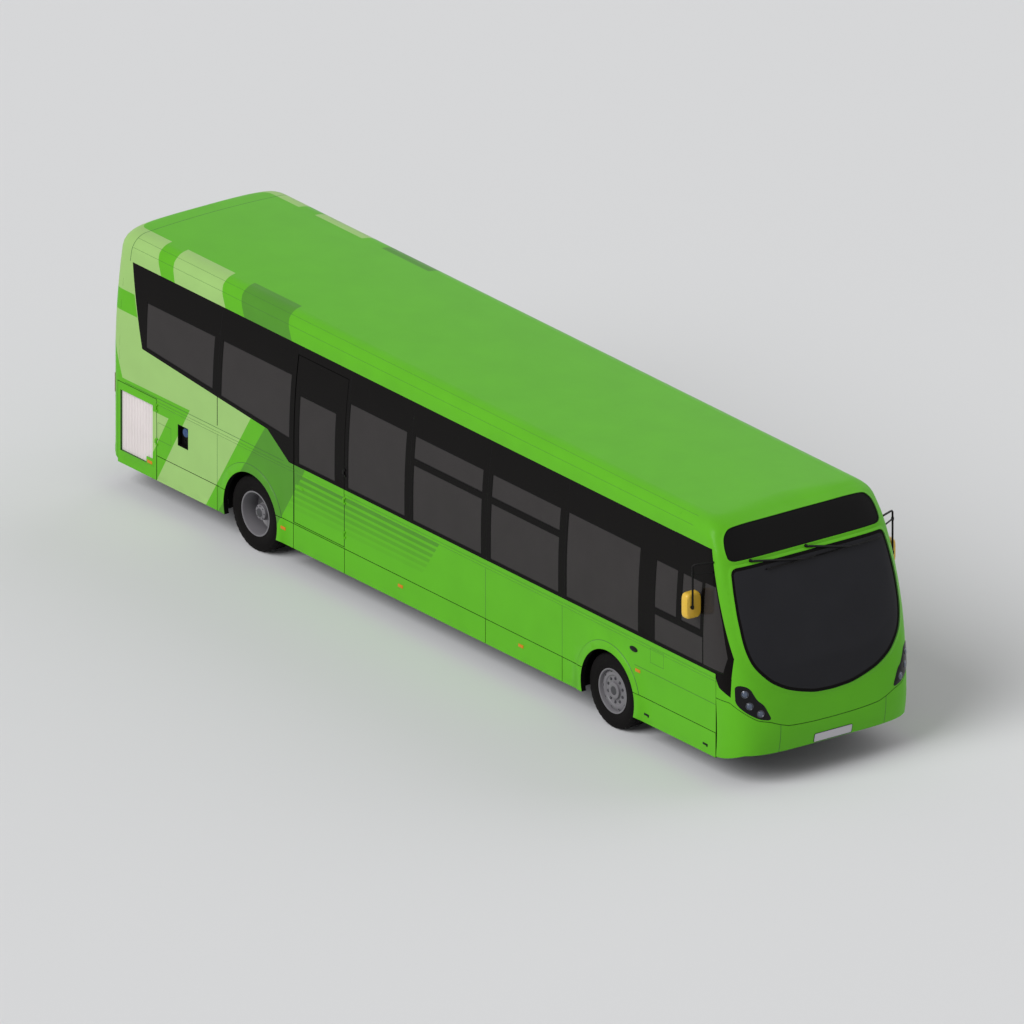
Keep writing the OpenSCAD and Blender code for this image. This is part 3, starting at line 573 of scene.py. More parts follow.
def mesh_object(
    name: str, verts: Array, faces: Sequence[Sequence[int]], finishes: Sequence[Finish],
    index: Sequence[int] | None = None, normals: Array | None = None, sharp: float = 35.0,
) -> bpy.types.Object:
    """Makes an object from points and faces.

    Args:
        name: the object's name.
        verts: its points.
        faces: its faces.
        finishes: its materials.
        index: the material of each face.
        normals: the normal of each point, if it is known.
        sharp: edges over this angle in degrees stay sharp, if normals isn't given.

    Returns:
        The object, linked to the scene.
    """
    mesh = bpy.data.meshes.new(name)
    mesh.from_pydata(np.asarray(verts, float).tolist(), [], [list(map(int, f)) for f in faces])
    for finish in finishes:
        mesh.materials.append(finish.material())
    if index is not None:
        mesh.polygons.foreach_set("material_index", np.asarray(index, np.int32))
    mesh.polygons.foreach_set("use_smooth", np.ones(len(mesh.polygons), bool))
    mesh.update()
    if normals is None:
        mesh.set_sharp_from_angle(angle=math.radians(sharp))
    else:
        mesh.normals_split_custom_set_from_vertices(np.asarray(normals, float).tolist())
    obj = bpy.data.objects.new(name, mesh)
    bpy.context.scene.collection.objects.link(obj)
    return obj


@dataclass
class Sheet:
    """A panel cut from a surface, with openings, painted zones and a real thickness.

    Attributes:
        surface: maps lengths u and v to points on the outer skin.
        outline: the panel's edge in u and v.
        finish: its main finish.
        holes: loops that are cut out.
        zones: finishes with their loops, each painted over the ones before.
        lines: open lines that the mesh follows.
        step: how finely the mesh follows u and v.
        thickness: how far the back lies under the face.
        lift: how far the face lies over the surface.
        relief: height of the face over its level, by u and v.
        lining: finish of the back.
        edge: finish of the edges; dark green by default, as painted shade in the gaps between panels.
        outward: the side that faces out, if it isn't away from the saloon.
    """

    surface: Surface
    outline: Loop
    finish: Finish
    holes: Sequence[Loop] = ()
    zones: Sequence[tuple[Finish, Loop]] = ()
    lines: Sequence[Loop] = ()
    step: Point = (0.3, 0.12)
    thickness: float = 0.004
    lift: float = 0.0
    relief: Callable[[Array, Array], Array] | None = None
    lining: Finish = LINING
    edge: Finish = JOINT_AND_SHADE
    outward: Sequence[float] | None = None

    def _bare_normals(self, surface: Surface, u: Array, v: Array) -> Array:
        """Outward normals of a surface at u and v."""
        h = 0.002
        across = surface(u + h, v) - surface(u - h, v)
        along = surface(u, v + h) - surface(u, v - h)
        n = np.cross(across, along)
        size = np.linalg.norm(n, axis=1, keepdims=True)
        n = np.where(size > 1e-9, n / np.maximum(size, 1e-9), [0.0, 0.0, 1.0])
        if self.outward is not None:
            way = np.broadcast_to(np.array(self.outward, float), n.shape)
        else:
            p = surface(u, v)
            way = p - np.stack([np.clip(p[:, 0], -4.6, 4.2), 0 * u, 0 * u + 1.4], 1)
        return np.where((n * way).sum(1, keepdims=True) < 0, -n, n)

    def _face(self, u: Array, v: Array) -> Array:
        """Points of the face with its lift and relief."""
        height = self.lift + (self.relief(u, v) if self.relief else 0)
        return self.surface(u, v) + self._bare_normals(self.surface, u, v) * np.reshape(height, (-1, 1))

    def _triangles(self) -> tuple[Array, Array]:
        """Cuts the surface into triangles that follow every loop and line."""
        su, sv = self.step
        points: list[Point] = []
        edges: list[tuple[int, int]] = []
        loops = [(self.outline, True)] + [(h, True) for h in self.holes]
        loops += [(z, True) for _, z in self.zones] + [(line, False) for line in self.lines]
        for loop, closed in loops:
            scaled = fine([(x / su, y / sv) for x, y in loop], 1.0, closed)
            start = len(points)
            points += [(x * su, y * sv) for x, y in scaled]
            edges += [(i, i + 1) for i in range(start, len(points) - 1)]
            if closed:
                edges.append((len(points) - 1, start))
        low, high = np.min(self.outline, 0), np.max(self.outline, 0)
        for x in np.arange(low[0] + su / 2, high[0], su):
            points += [(float(x), float(y)) for y in np.arange(low[1] + sv / 2, high[1], sv)]
        verts, _, faces, *_ = delaunay_2d_cdt([Vector(p) for p in points], edges, [], 0, 1e-5)
        flat = np.array([v[:] for v in verts])
        tris = np.array([f for f in faces if len(f) == 3])
        middle = flat[tris].mean(1)
        keep = inside(middle, self.outline)
        for hole in self.holes:
            keep &= ~inside(middle, hole)
        return flat, tris[keep]

    def build(self, name: str) -> bpy.types.Object:
        """Builds the panel's object under a name."""
        flat, tris = self._triangles()
        used, tris = np.unique(tris, return_inverse=True)
        flat, tris = flat[used], tris.reshape(-1, 3)
        u, v = flat.T
        top, n = self._face(u, v), self._bare_normals(self._face, u, v)
        back = self.surface(u, v) - self._bare_normals(self.surface, u, v) * self.thickness
        p0, p1, p2 = (top[tris[:, i]] for i in range(3))
        turned = (np.cross(p1 - p0, p2 - p0) * n[tris].mean(1)).sum(1) < 0
        tris[turned] = tris[turned][:, ::-1]
        finishes = [self.finish, self.lining, self.edge]
        index = np.zeros(len(tris), int)
        middle = flat[tris].mean(1)
        for finish, loop in self.zones:
            if finish not in finishes:
                finishes.append(finish)
            index[inside(middle, loop)] = finishes.index(finish)
        sides = [e for t in tris for e in ((t[0], t[1]), (t[1], t[2]), (t[2], t[0]))]
        uses = Counter(tuple(sorted(e)) for e in sides)
        rim = [e for e in sides if uses[tuple(sorted(e))] == 1]
        a, b = np.array(rim).T
        quads = np.stack([top[b], top[a], back[a], back[b]], 1)
        flatn = np.cross(quads[:, 1] - quads[:, 0], quads[:, 3] - quads[:, 0])
        flatn /= np.maximum(np.linalg.norm(flatn, axis=1, keepdims=True), 1e-9)
        count = len(flat)
        faces = [*tris, *(tris[:, ::-1] + count), *(2 * count + np.arange(4 * len(rim)).reshape(-1, 4))]
        index = np.concatenate([index, np.full(len(tris), 1), np.full(len(rim), 2)])
        verts = np.concatenate([top, back, quads.reshape(-1, 3)])
        normals = np.concatenate([n, -n, np.repeat(flatn, 4, 0)])
        return mesh_object(name, verts, faces, finishes, index, normals)


@dataclass
class Shape:
    """A piece put together from lofts, turnings, rods and blocks, each with its finish."""

    verts: list[Sequence[float]] = field(default_factory=list)
    faces: list[list[int]] = field(default_factory=list)
    index: list[int] = field(default_factory=list)
    finishes: list[Finish] = field(default_factory=list)

    def add(self, verts: Array, faces: Sequence[Sequence[int]], finish: Finish) -> None:
        """Adds points and faces of one finish."""
        if finish not in self.finishes:
            self.finishes.append(finish)
        start = len(self.verts)
        self.verts += np.asarray(verts, float).tolist()
        self.faces += [[start + int(i) for i in f] for f in faces]
        self.index += [self.finishes.index(finish)] * len(faces)

    def loft(self, rings: Sequence[Array], finish: Finish, capped: bool = True) -> None:
        """Skins a row of closed rings that have the same count of points."""
        w = len(rings[0])
        faces = [
            [i * w + j, i * w + (j + 1) % w, (i + 1) * w + (j + 1) % w, (i + 1) * w + j]
            for i in range(len(rings) - 1) for j in range(w)
        ]
        if capped:
            faces += [list(range(w))[::-1], [(len(rings) - 1) * w + j for j in range(w)]]
        self.add(np.concatenate([np.asarray(r, float) for r in rings]), faces, finish)

    def block(self, low: Sequence[float], high: Sequence[float], finish: Finish, edge: float = 0.005) -> None:
        """Adds a box with rounded edges."""
        (x0, y0, z0), (x1, y1, z1) = low, high
        edge = min(edge, (x1 - x0) / 2.1, (y1 - y0) / 2.1, (z1 - z0) / 2.1)

        def ring(z: float, inset: float) -> Array:
            out = []
            for cx, cy, start in ((x1, y1, 0), (x0, y1, 90), (x0, y0, 180), (x1, y0, 270)):
                sx, sy = (-1 if cx == x1 else 1), (-1 if cy == y1 else 1)
                for a in range(start, start + 91, 30):
                    r = edge - inset
                    out.append((
                        cx + sx * edge + r * math.cos(math.radians(a)),
                        cy + sy * edge + r * math.sin(math.radians(a)), z,
                    ))
            return np.array(out)

        near = 0.3 * edge
        self.loft(
            [ring(z0, 0.7 * edge), ring(z0 + near, near * 0.6), ring(z0 + edge, 0), ring(z1 - edge, 0),
             ring(z1 - near, near * 0.6), ring(z1, 0.7 * edge)], finish,
        )

    def rod(self, path: Sequence[Sequence[float]], radius: float, finish: Finish, sides: int = 12) -> None:
        """Adds a round bar along a path."""
        p = np.array(path, float)
        way = np.gradient(p, axis=0)
        way /= np.linalg.norm(way, axis=1, keepdims=True)
        side = np.cross(way[0], [0.0, 0.0, 1.0] if abs(way[0][2]) < 0.9 else [1.0, 0.0, 0.0])
        rings = []
        for point, t in zip(p, way):
            side = side - t * (side @ t)
            side /= np.linalg.norm(side)
            other = np.cross(t, side)
            rings.append(np.array([
                point + radius * (side * math.cos(a) + other * math.sin(a))
                for a in np.linspace(0, 2 * math.pi, sides, endpoint=False)
            ]))
        self.loft(rings, finish)

    def turned(
        self, profile: Loop, centre: Sequence[float], axis: Sequence[float], finish: Finish, sides: int = 48,
        closed: bool = False, wave: Callable[[int, int], float] | None = None,
    ) -> None:
        """Turns a profile about an axis.

        Args:
            profile: radius and height of each of its points.
            centre: the point at height 0.
            axis: the way up.
            finish: its finish.
            sides: how many steps go round.
            closed: whether the profile is a closed loop.
            wave: change of radius at profile point i and step j.
        """
        up = np.array(axis, float) / np.linalg.norm(axis)
        a = np.cross(up, [0.0, 0.0, 1.0] if abs(up[2]) < 0.9 else [1.0, 0.0, 0.0])
        a /= np.linalg.norm(a)
        b = np.cross(up, a)
        rings = []
        for i, (r, h) in enumerate(profile):
            ring = []
            for j in range(sides):
                t = 2 * math.pi * j / sides
                reach = max(r + (wave(i, j) if wave else 0), 1e-5)
                ring.append(np.array(centre, float) + reach * (a * math.cos(t) + b * math.sin(t)) + up * h)
            rings.append(np.array(ring))
        if closed:
            rings.append(rings[0])
        self.loft(rings, finish, capped=not closed)

    def build(self, name: str, sharp: float = 35.0) -> bpy.types.Object:
        """Builds the piece's object under a name."""
        return mesh_object(name, self.verts, self.faces, self.finishes, self.index, sharp=sharp)


def offset(loop: Loop, gap: float) -> list[Point]:
    """Moves a loop's edges inwards by a gap."""
    p = np.array(loop, float)
    area = np.sum(p[:, 0] * np.roll(p[:, 1], -1) - np.roll(p[:, 0], -1) * p[:, 1])
    if area < 0:
        p = p[::-1]
    back, ahead = p - np.roll(p, 1, 0), np.roll(p, -1, 0) - p
    n0, n1 = (np.stack([-e[:, 1], e[:, 0]], 1) / np.maximum(np.linalg.norm(e, axis=1, keepdims=True), 1e-9)
              for e in (back, ahead))
    share = np.maximum(1 + (n0 * n1).sum(1, keepdims=True), 0.35)
    q = p + gap * (n0 + n1) / share
    return [tuple(v) for v in (q[::-1] if area < 0 else q).tolist()]


def line(a: Point, b: Point, width: float = 0.006) -> list[Point]:
    """A thin four-cornered strip from a to b, for a painted joint."""
    d = np.array(b, float) - a
    n = np.array([-d[1], d[0]]) / np.linalg.norm(d) * width / 2
    return [tuple(v) for v in (a + n, b + n, b - n, a - n)]


def pane(
    surface: Surface, outline: Loop, zones: Sequence[tuple[Finish, Loop]], step: Point, lift: float,
    finish: Finish = GASKET_AND_SHADE,
) -> Sheet:
    """A fixed pane with a black back and edges, set under the skin by its lift."""
    return Sheet(
        surface, outline, finish, (), zones, (), step, PANE_THICK, lift=lift, edge=GASKET_AND_SHADE, lining=GASKET_AND_SHADE
    )


def side_loop(loop: Loop) -> list[Point]:
    """Turns a loop in x and z into lengths on the straight body."""
    pts = fine(loop, 0.1)
    return [(x, float(FORM.girth(z))) for x, z in pts]


# ---- Livery ----


@dataclass(frozen=True)
class Livery:
    """Diagonal stripes over the rear half of each side, and the black band of the glass."""

    band: tuple[Point, ...] = (
        (5.545, BAND_FOOT), (-2.502, BAND_FOOT), (-2.895, 1.543), (-5.19, 1.751), (-5.471, 2.667), (5.13, 2.667),
        (5.56, 1.51),
    )
    rows: int = 6
    row_top: float = 1.187
    row_pitch: float = 0.077

    def zones(self) -> list[tuple[Finish, list[Point]]]:
        """Every painted field in x and z, each over the ones before."""
        out = [
            (LIGHT, [(-6, 0.2), (-4.078, 0.2), (-4.015, 0.298), (-3.194, 1.579), (-3.771, 2.66),
                     (-3.958, 2.952), (-6, 2.952)]),
            (GREEN, [(-6, 1.3), (-4.315, 1.307), (-4.975, 0.2), (-6, 0.2)]),
            (LIGHT, [(-4.989, 1.087), (-4.705, 1.087), (-4.989, 0.6)]),
            (GREEN, [(-6, 1.296), (-5.545, 1.296), (-5.655, 1.58), (-5.83, 2.04), (-6, 2.04)]),
            (GREEN, [(-6, 2.08), (-5.3, 2.08), (-5.38, 2.32), (-6, 2.32)]),
            (GREEN, [(-4.915, 2.6), (-4.675, 2.6), (-4.825, 2.952), (-5.119, 2.952)]),
            (DARK, [(-3.85, 0.2), (-2.94, 1.541), (-3.427, 2.66), (-3.603, 2.952), (-2.742, 2.952),
                    (-2.557, 2.66), (-2.211, 1.258), (-2.745, 0.426), (-2.89, 0.2)]),
        ]
        for i in range(self.rows):
            top = self.row_top - i * self.row_pitch
            low = top - 0.045
            left = [-2.211 + (z - 1.258) * 0.642 for z in (low, top)]
            right = [0.252 + (z - 1.186) * 0.705 for z in (low, top)]
            out.append((STRIPES[i], [(left[0], low), (right[0], low), (right[1], top), (left[1], top)]))
        return out + [(BAND, list(self.band))]

    def on_side(self) -> list[tuple[Finish, list[Point]]]:
        """The painted fields on the straight body."""
        return [(f, side_loop(p)) for f, p in self.zones()]

    def on_tail(self) -> list[tuple[Finish, list[Point]]]:
        """The painted fields that wrap round both rear corners."""
        out = []
        for finish, loop in self.zones():
            if min(x for x, _ in loop) > -5.5:
                continue
            held = fine([(min(max(x, -5.8), -5.3), z) for x, z in loop], 0.03)
            for hand in (-1, 1):
                out.append((finish, FORM.cap_by_side(-1, held, hand)))
        return out


LIVERY = Livery()


# ---- Body ----


@dataclass
class Shell:
    """Side walls, skirts, roof, nose and tail."""

    skin: float = 0.055
    tail_x: float = -5.52
    dome_x: float = 4.48
    cab_x: float = 5.08
    wall_x: float = 5.317
    dome_foot: float = 2.5
    rail_z: float = 2.665
    seam_z: float = 0.588
    arch_r: float = 0.49
    lip_r: float = 0.592
    escape: tuple[float, ...] = (-2.416, -1.482, 0.6, 2.56)
    doorway: tuple[float, ...] = (3.9, 5.05, 0.2, 2.4)
    skirt_seams: tuple[float, ...] = (-3.812, -2.416, -1.482, 1.1, 2.505)
    screen_half: tuple[Point, ...] = (
        (0, 0.985), (0.25, 1.0), (0.46, 1.054), (0.62, 1.108), (0.75, 1.179), (0.83, 1.236), (0.9, 1.307),
        (0.965, 1.385), (1.01, 1.465), (1.045, 1.58), (1.065, 1.71), (1.076, 1.976), (1.064, 2.23),
        (1.034, 2.47), (0, 2.47),
    )
    sign_half: tuple[Point, ...] = (
        (0, 2.533), (1.028, 2.533), (1.04, 2.642), (1.014, 2.767), (0.96, 2.83), (0.9, 2.862), (0.7, 2.874),
        (0, 2.876),
    )
    quarter: tuple[Point, ...] = (
        (5.08, PANE_FOOT), (5.44, PANE_FOOT), (5.5, 1.5), (5.4, 1.9), (5.265, 2.28), (5.08, 2.28),
    )
    # Height of the bumper's seam by the angle round the nose
    seam_turn: tuple[Point, ...] = (
        (0, 0.672), (12, 0.7), (25, 0.78), (37, 0.815), (51, 0.895), (70, 1.0), (90, 1.0),
    )

    def _arches(self) -> list[list[Point]]:
        """Wheel openings in x and z."""
        return [circle(x, AXLE_Z, self.arch_r, 72) for x in AXLES]

    def _lip_line(self, x: float, r: float) -> list[Point]:
        """Part of a circle round a wheel that lies above the skirt's foot."""
        return [p for p in circle(x, AXLE_Z, r, 72) if p[1] > FORM.floor_level]

    def _rear_end(self, hand: int) -> float:
        """X at which a side's lower panels end: the right makes room for the radiator door."""
        return -4.919 if hand < 0 else -5.64

    def _swell(self, u: Array, v: Array) -> Array:
        """Height of the belt ridges and of the lips round the wheels."""
        _, z = FORM.section(v)
        low, high = RIDGES
        belt = 0.0025 * (np.exp(-(((z - low) / 0.006) ** 2)) + np.exp(-(((z - high) / 0.006) ** 2)))
        belt = belt + 0.003 * np.clip((z - high) / 0.01, 0, 1) * (z < 1.286) * (u > -2.5)
        lip = 0 * u
        for x in AXLES:
            r = np.hypot(u - x, z - AXLE_Z)
            lip = np.maximum(lip, 0.007 * np.clip((self.lip_r - r) / 0.006, 0, 1))
        return belt + lip

    def _ridge_lines(self) -> list[list[Point]]:
        """Lines that the mesh follows along the ridges and wheel lips."""
        rows = [1.178, 1.184, 1.19, 1.196, 1.206, 1.216, 1.222, 1.232, 1.286, 1.287]
        out = [[(-5.7, z), (5.4, z)] for z in rows]
        return out + [self._lip_line(x, r) for x in AXLES for r in (self.lip_r - 0.0055, self.lip_r)]

    def _joints(self) -> list[tuple[Finish, list[Point]]]:
        """Painted joints of a side in x and z, with painted shade along the belt ridges and under the wheel lips."""
        out: list[tuple[Finish, list[Point]]] = []
        for x in self.skirt_seams:
            out.append((JOINT_AND_SHADE, line((x, 0.58), (x, 1.185))))
        for a, b in (((3.83, 0.917), (5.31, 0.917)), ((-5.5, 1.262), (-2.6, 1.262))):
            out.append((JOINT_AND_SHADE, line(a, b)))
        for flap in (box_loop(4.12, 4.36, 1.033, 1.204), box_loop(-4.9, -4.66, 0.78, 0.98)):
            out += [(JOINT_AND_SHADE, line(a, b, 0.004)) for a, b in zip(flap, flap[1:] + flap[:1])]
        # Thin dark lines along both belt ridges: painted shade under the ridges
        for z in RIDGES:
            out.append((JOINT_AND_SHADE, line((-5.6, z), (5.31, z), 0.003)))
        # Thin dark arcs at the step of each wheel lip: painted shadow of the lip
        for x in AXLES:
            ring = [p for p in circle(x, AXLE_Z, self.lip_r - 0.0015, 72) if p[1] > 0.585]
            out += [(JOINT_AND_SHADE, line(a, b, 0.005)) for a, b in zip(ring, ring[1:]) if math.dist(a, b) < 0.1]
        for x in (-3.812, -2.398, -1.447, -0.29, 1.119, 2.544):
            out.append((GASKET_AND_SHADE, line((x, 1.29), (x, 2.66), 0.012)))
        return [(f, side_loop(p)) for f, p in out]

    def wall(self, hand: int, panes: Sequence[Loop]) -> None:
        """Builds one side wall.

        Args:
            hand: 1 for the left and -1 for the right.
            panes: outlines of the wall's panes in x and z.
        """
        low_x = self._rear_end(hand)
        edge = [
            (self.tail_x, TAIL_FOOT), (low_x, TAIL_FOOT), (low_x, self.seam_z), (self.wall_x, self.seam_z),
            (self.wall_x, BAND_FOOT), (self.cab_x, BAND_FOOT), (self.cab_x, self.dome_foot),
            (self.dome_x, self.dome_foot), (self.dome_x, self.rail_z), (self.tail_x, self.rail_z),
        ]
        holes = [side_loop(p) for p in panes] + self._arches()
        if hand < 0:
            holes += [side_loop(box_loop(*self.escape)), side_loop(box_loop(*FILLER))]
        else:
            holes.append(side_loop(box_loop(*self.doorway)))
        # The wall's rim faces are black: painted shade in the gaps round its edges and openings
        sheet = Sheet(
            FORM.side(hand), side_loop(edge), GREEN, holes, LIVERY.on_side() + self._joints(),
            self._ridge_lines(), (0.35, 0.09), self.skin, relief=self._swell, edge=GASKET_AND_SHADE,
        )
        name = SIDES[hand]
        dress(sheet.build(f"wall_panel_{name}"), "bus_body", "green_paint", f"side_wall_{name}")

    def skirts(self) -> None:
        """Builds the skirt panels below both walls, and the splash panels inside the rear arches."""

        def swell(u: Array, v: Array) -> Array:
            return self._swell(u, v) * (v > FORM.floor_level) + 0.003 * np.exp(-(((v - 0.33) / 0.008) ** 2))

        lips = [self._lip_line(x, self.lip_r) for x in AXLES]
        parts = []
        for hand in (-1, 1):
            ends = [self._rear_end(hand), *self.skirt_seams, self.wall_x]
            for i, (x0, x1) in enumerate(zip(ends, ends[1:])):
                holes = self._arches()
                if hand > 0:
                    holes.append(box_loop(3.892, 5.058, 0.31, 0.7))
                # Black rim faces and a dark back: painted shade in the gaps round the skirts and behind them
                sheet = Sheet(
                    FORM.side(hand), box_loop(x0 + 0.004, x1 - 0.004, 0.293, 0.58), GREEN, holes,
                    LIVERY.on_side(), lips, (0.3, 0.07), self.skin, edge=GASKET_AND_SHADE, lining=CHASSIS_AND_SHADE, relief=swell,
                )
                parts.append(sheet.build(f"skirt_{hand}_{i}"))
        whole = join(parts, "skirt_panels")
        dress(whole, "bus_body", "green_paint", "skirts")
        guards = Shape()
        for hand in (-1, 1):
            for x0, x1, y0, y1 in (
                (-3.712, -3.704, 0.562, 1.148), (-2.696, -2.688, 0.562, 1.148), (-3.704, -3.45, 0.562, 0.568),
                (-2.95, -2.696, 0.562, 0.568),
            ):
                low, high = sorted((hand * y0, hand * y1))
                guards.block((x0, low, 0.33), (x1, high, 0.661), GASKET_AND_SHADE, 0.002)
        dress(guards.build("rear_splash_panels"), "bus_body", "trim_black")

    def roof(self) -> None:
        """Builds the roof with the stripes and panel joints of both coves."""
        low, top = float(FORM.girth(self.rail_z)), FORM.top
        far = 2 * top - low
        zones = []
        for finish, loop in LIVERY.zones()[:-1]:
            half = side_loop(loop)
            if max(v for _, v in half) < low:
                continue
            zones += [(finish, half), (finish, [(x, 2 * top - v) for x, v in half])]
        for z in (2.82, 2.91):
            v = float(FORM.girth(z))
            for w in (v, 2 * top - v):
                zones.append((JOINT_AND_SHADE, line((self.tail_x, w), (self.dome_x, w), 0.003)))
        zones.append((JOINT_AND_SHADE, line((self.tail_x + 0.004, low), (self.tail_x + 0.004, far), 0.008)))
        edge = box_loop(self.tail_x, self.dome_x, low, far)
        rows = [[(self.tail_x, w), (self.dome_x, w)] for v in (low + 0.03, FORM.crown) for w in (v, 2 * top - v)]
        sheet = Sheet(FORM.side(1), edge, GREEN, (), zones, rows, (0.5, 0.035), self.skin)
        dress(sheet.build("roof_panel"), "bus_body", "green_paint", "roof")

    def _cap_edge(self, end: int, x: float, v0: float, v1: float) -> list[Point]:
        """Outline of a cap panel between two girths, forward of x."""
        vs = np.linspace(v0, v1, 30)
        _, z = FORM.section(vs)
        centre, length, power = FORM.end_plan(end, z)
        p = (x - centre) / length
        inner = np.clip(p, 0, 0.9999)
        us = np.where(p < 0, FORM.quarter - p * length, FORM._turn(inner, (1 - inner**power) ** (1 / power)))
        low = [(float(u), v0) for u in np.linspace(-us[0], us[0], 60)][1:-1]
        high = [(float(u), v1) for u in np.linspace(us[-1], -us[-1], 60)][1:-1]
        left, right = list(zip(us.tolist(), vs.tolist())), list(zip((-us).tolist(), vs.tolist()))
        return right[::-1] + low + left + high

    def _by_turn(self, end: int, rows: Sequence[Point], x: float, drop: float = 0.0) -> list[Point]:
        """A line across a cap, given as heights by plan angle, from right to left."""
        left = []
        for t in np.linspace(0, 89, 60):
            z = float(np.interp(t, [a for a, _ in rows], [b for _, b in rows])) - drop
            centre, length, power = (float(k) for k in FORM.end_plan(end, np.array(z)))
            p = max(math.cos(math.radians(t)), 1e-6) ** (2 / power)
            if centre + p * length < x:
                break
            left.append((float(FORM._turn(p, math.sin(math.radians(t)) ** (2 / power))), float(FORM.girth(z))))
        left += FORM.cap_by_side(end, [(end * x, z)], 1)
        return [(-u, v) for u, v in reversed(left) if u > 1e-6] + left

    def screen(self) -> list[Point]:
        """Outline of the windscreen on the nose."""
        return FORM.cap_by_front(1, fine(eased(mirrored(self.screen_half), reach=0.04), 0.03))

    def sign(self) -> list[Point]:
        """Outline of the destination window on the nose."""
        return FORM.cap_by_front(1, fine(eased(mirrored(self.sign_half), reach=0.05), 0.03))

    def quarters(self) -> list[list[Point]]:
        """Outlines of the two front quarter windows on the nose."""
        return [FORM.cap_by_side(1, fine(self.quarter, 0.04), hand) for hand in (-1, 1)]

    def rear_window(self) -> list[Point]:
        """Outline of the rear window on the tail."""
        return FORM.cap_by_front(-1, fine(eased(box_loop(-0.8, 0.8, 1.64, 2.29), reach=0.04), 0.04))

    @staticmethod
    def _lip(loop: Loop, height: float, width: float) -> Callable[[Array, Array], Array]:
        """Relief that rises towards the edge of an opening."""

        def rise(u: Array, v: Array) -> Array:
            return height * (0.5 + 0.5 * np.cos(depth_share(u, v, loop, width) * math.pi))

        return rise

    def _corner_band(self, z0: float, z1: float) -> list[tuple[Finish, list[Point]]]:
        """The black band where it runs round both front corners."""
        upper = [(4.9, BAND_FOOT), (5.545, BAND_FOOT), (5.56, 1.51), (5.13, 2.667), (4.3, 2.667)]
        lower = [(5.3, 1.29), (5.3, 1.26), (5.33, 1.19), (5.37, 1.13), (5.54, 1.06), (5.548, 1.29)]
        loops = [lo for lo in (upper, lower) if max(z for _, z in lo) > z0 and min(z for _, z in lo) < z1]
        return [(BAND, FORM.cap_by_side(1, fine(lo, 0.03), hand)) for lo in loops for hand in (-1, 1)]

    def nose(self) -> None:
        """Builds the dome, the screen surround, the cowl and the front bumper."""
        screen, sign = self.screen(), self.sign()
        foot = float(FORM.girth(self.dome_foot))
        edge = self._cap_edge(1, self.dome_x, foot, FORM.top)
        joints = []
        for z in (2.82, 2.91):
            for hand in (-1, 1):
                a, b = FORM.cap_by_side(1, [(self.dome_x, z), (4.75, z)], hand)
                joints.append((JOINT_AND_SHADE, line(a, b, 0.003)))
        dome = Sheet(
            FORM.cap(1), edge, GREEN, [sign], self._corner_band(self.dome_foot, 2.7) + joints,
            [offset(sign, -0.012), offset(sign, -0.03)], (0.06, 0.04), self.skin,
            relief=self._lip(sign, 0.006, 0.035),
        )
        dress(dome.build("brow_dome"), "bus_body", "green_paint", "front_dome")
        edge = self._cap_edge(1, self.cab_x, BAND_FOOT, foot)
        rings = [offset(screen, -gap) for gap in (0.012, 0.028, 0.045)]
        panel = Sheet(
            FORM.cap(1), edge, GREEN, [screen, *self.quarters()], self._corner_band(1.3, self.dome_foot),
            rings, (0.06, 0.09), self.skin, relief=self._lip(screen, 0.012, 0.05),
        )
        dress(panel.build("screen_surround"), "bus_body", "green_paint", "front_panel")
        seam = self._by_turn(1, self.seam_turn, self.wall_x)
        top = float(FORM.girth(BAND_FOOT))
        right, left = (FORM.cap_by_side(1, [(self.wall_x, BAND_FOOT)], h)[0][0] for h in (-1, 1))
        high = [(float(u), top) for u in np.linspace(left, right, 60)]
        belts = [[(u, v) for u in (right, -0.95)] for v in (1.184, 1.19, 1.196, 1.216, 1.222, 1.228)]
        # The cowl's back is dark: painted shade where gaps show the inside
        cowl = Sheet(
            FORM.cap(1), seam + high, GREEN, [screen], self._corner_band(0.9, 1.25), rings + belts,
            (0.06, 0.06), self.skin, relief=self._lip(screen, 0.012, 0.05), lining=CHASSIS_AND_SHADE,
        )
        dress(cowl.build("nose_cowl"), "bus_body", "green_paint", "front_cowl")
        low_rows = ((0, 0.393), (50, 0.39), (75, 0.32), (90, 0.293))
        low = self._by_turn(1, low_rows, self.wall_x)
        high = self._by_turn(1, self.seam_turn, self.wall_x, 0.008)
        marks = []
        for hand in (-1, 1):
            a, b = FORM.cap_by_front(1, [(hand * 0.716, 0.36), (hand * 0.716, 0.8)])
            marks.append((JOINT_AND_SHADE, line(a, b)))
        # The bumper's back is dark: painted shade where gaps show the inside
        bumper = Sheet(FORM.cap(1), low + high[::-1], GREEN, (), marks, (), (0.06, 0.06), self.skin, lining=CHASSIS_AND_SHADE)
        dress(bumper.build("front_bumper_panel"), "bus_body", "green_paint", "front_bumper")

    @staticmethod
    def _pin(shape: Shape, y0: float, y1: float) -> None:
        """Adds a length of the engine cover's hinge pin."""
        x, z = LID_PIN
        low, high = sorted((y0, y1))
        shape.rod([(x, low, z), (x, high, z)], 0.006, TRIM)

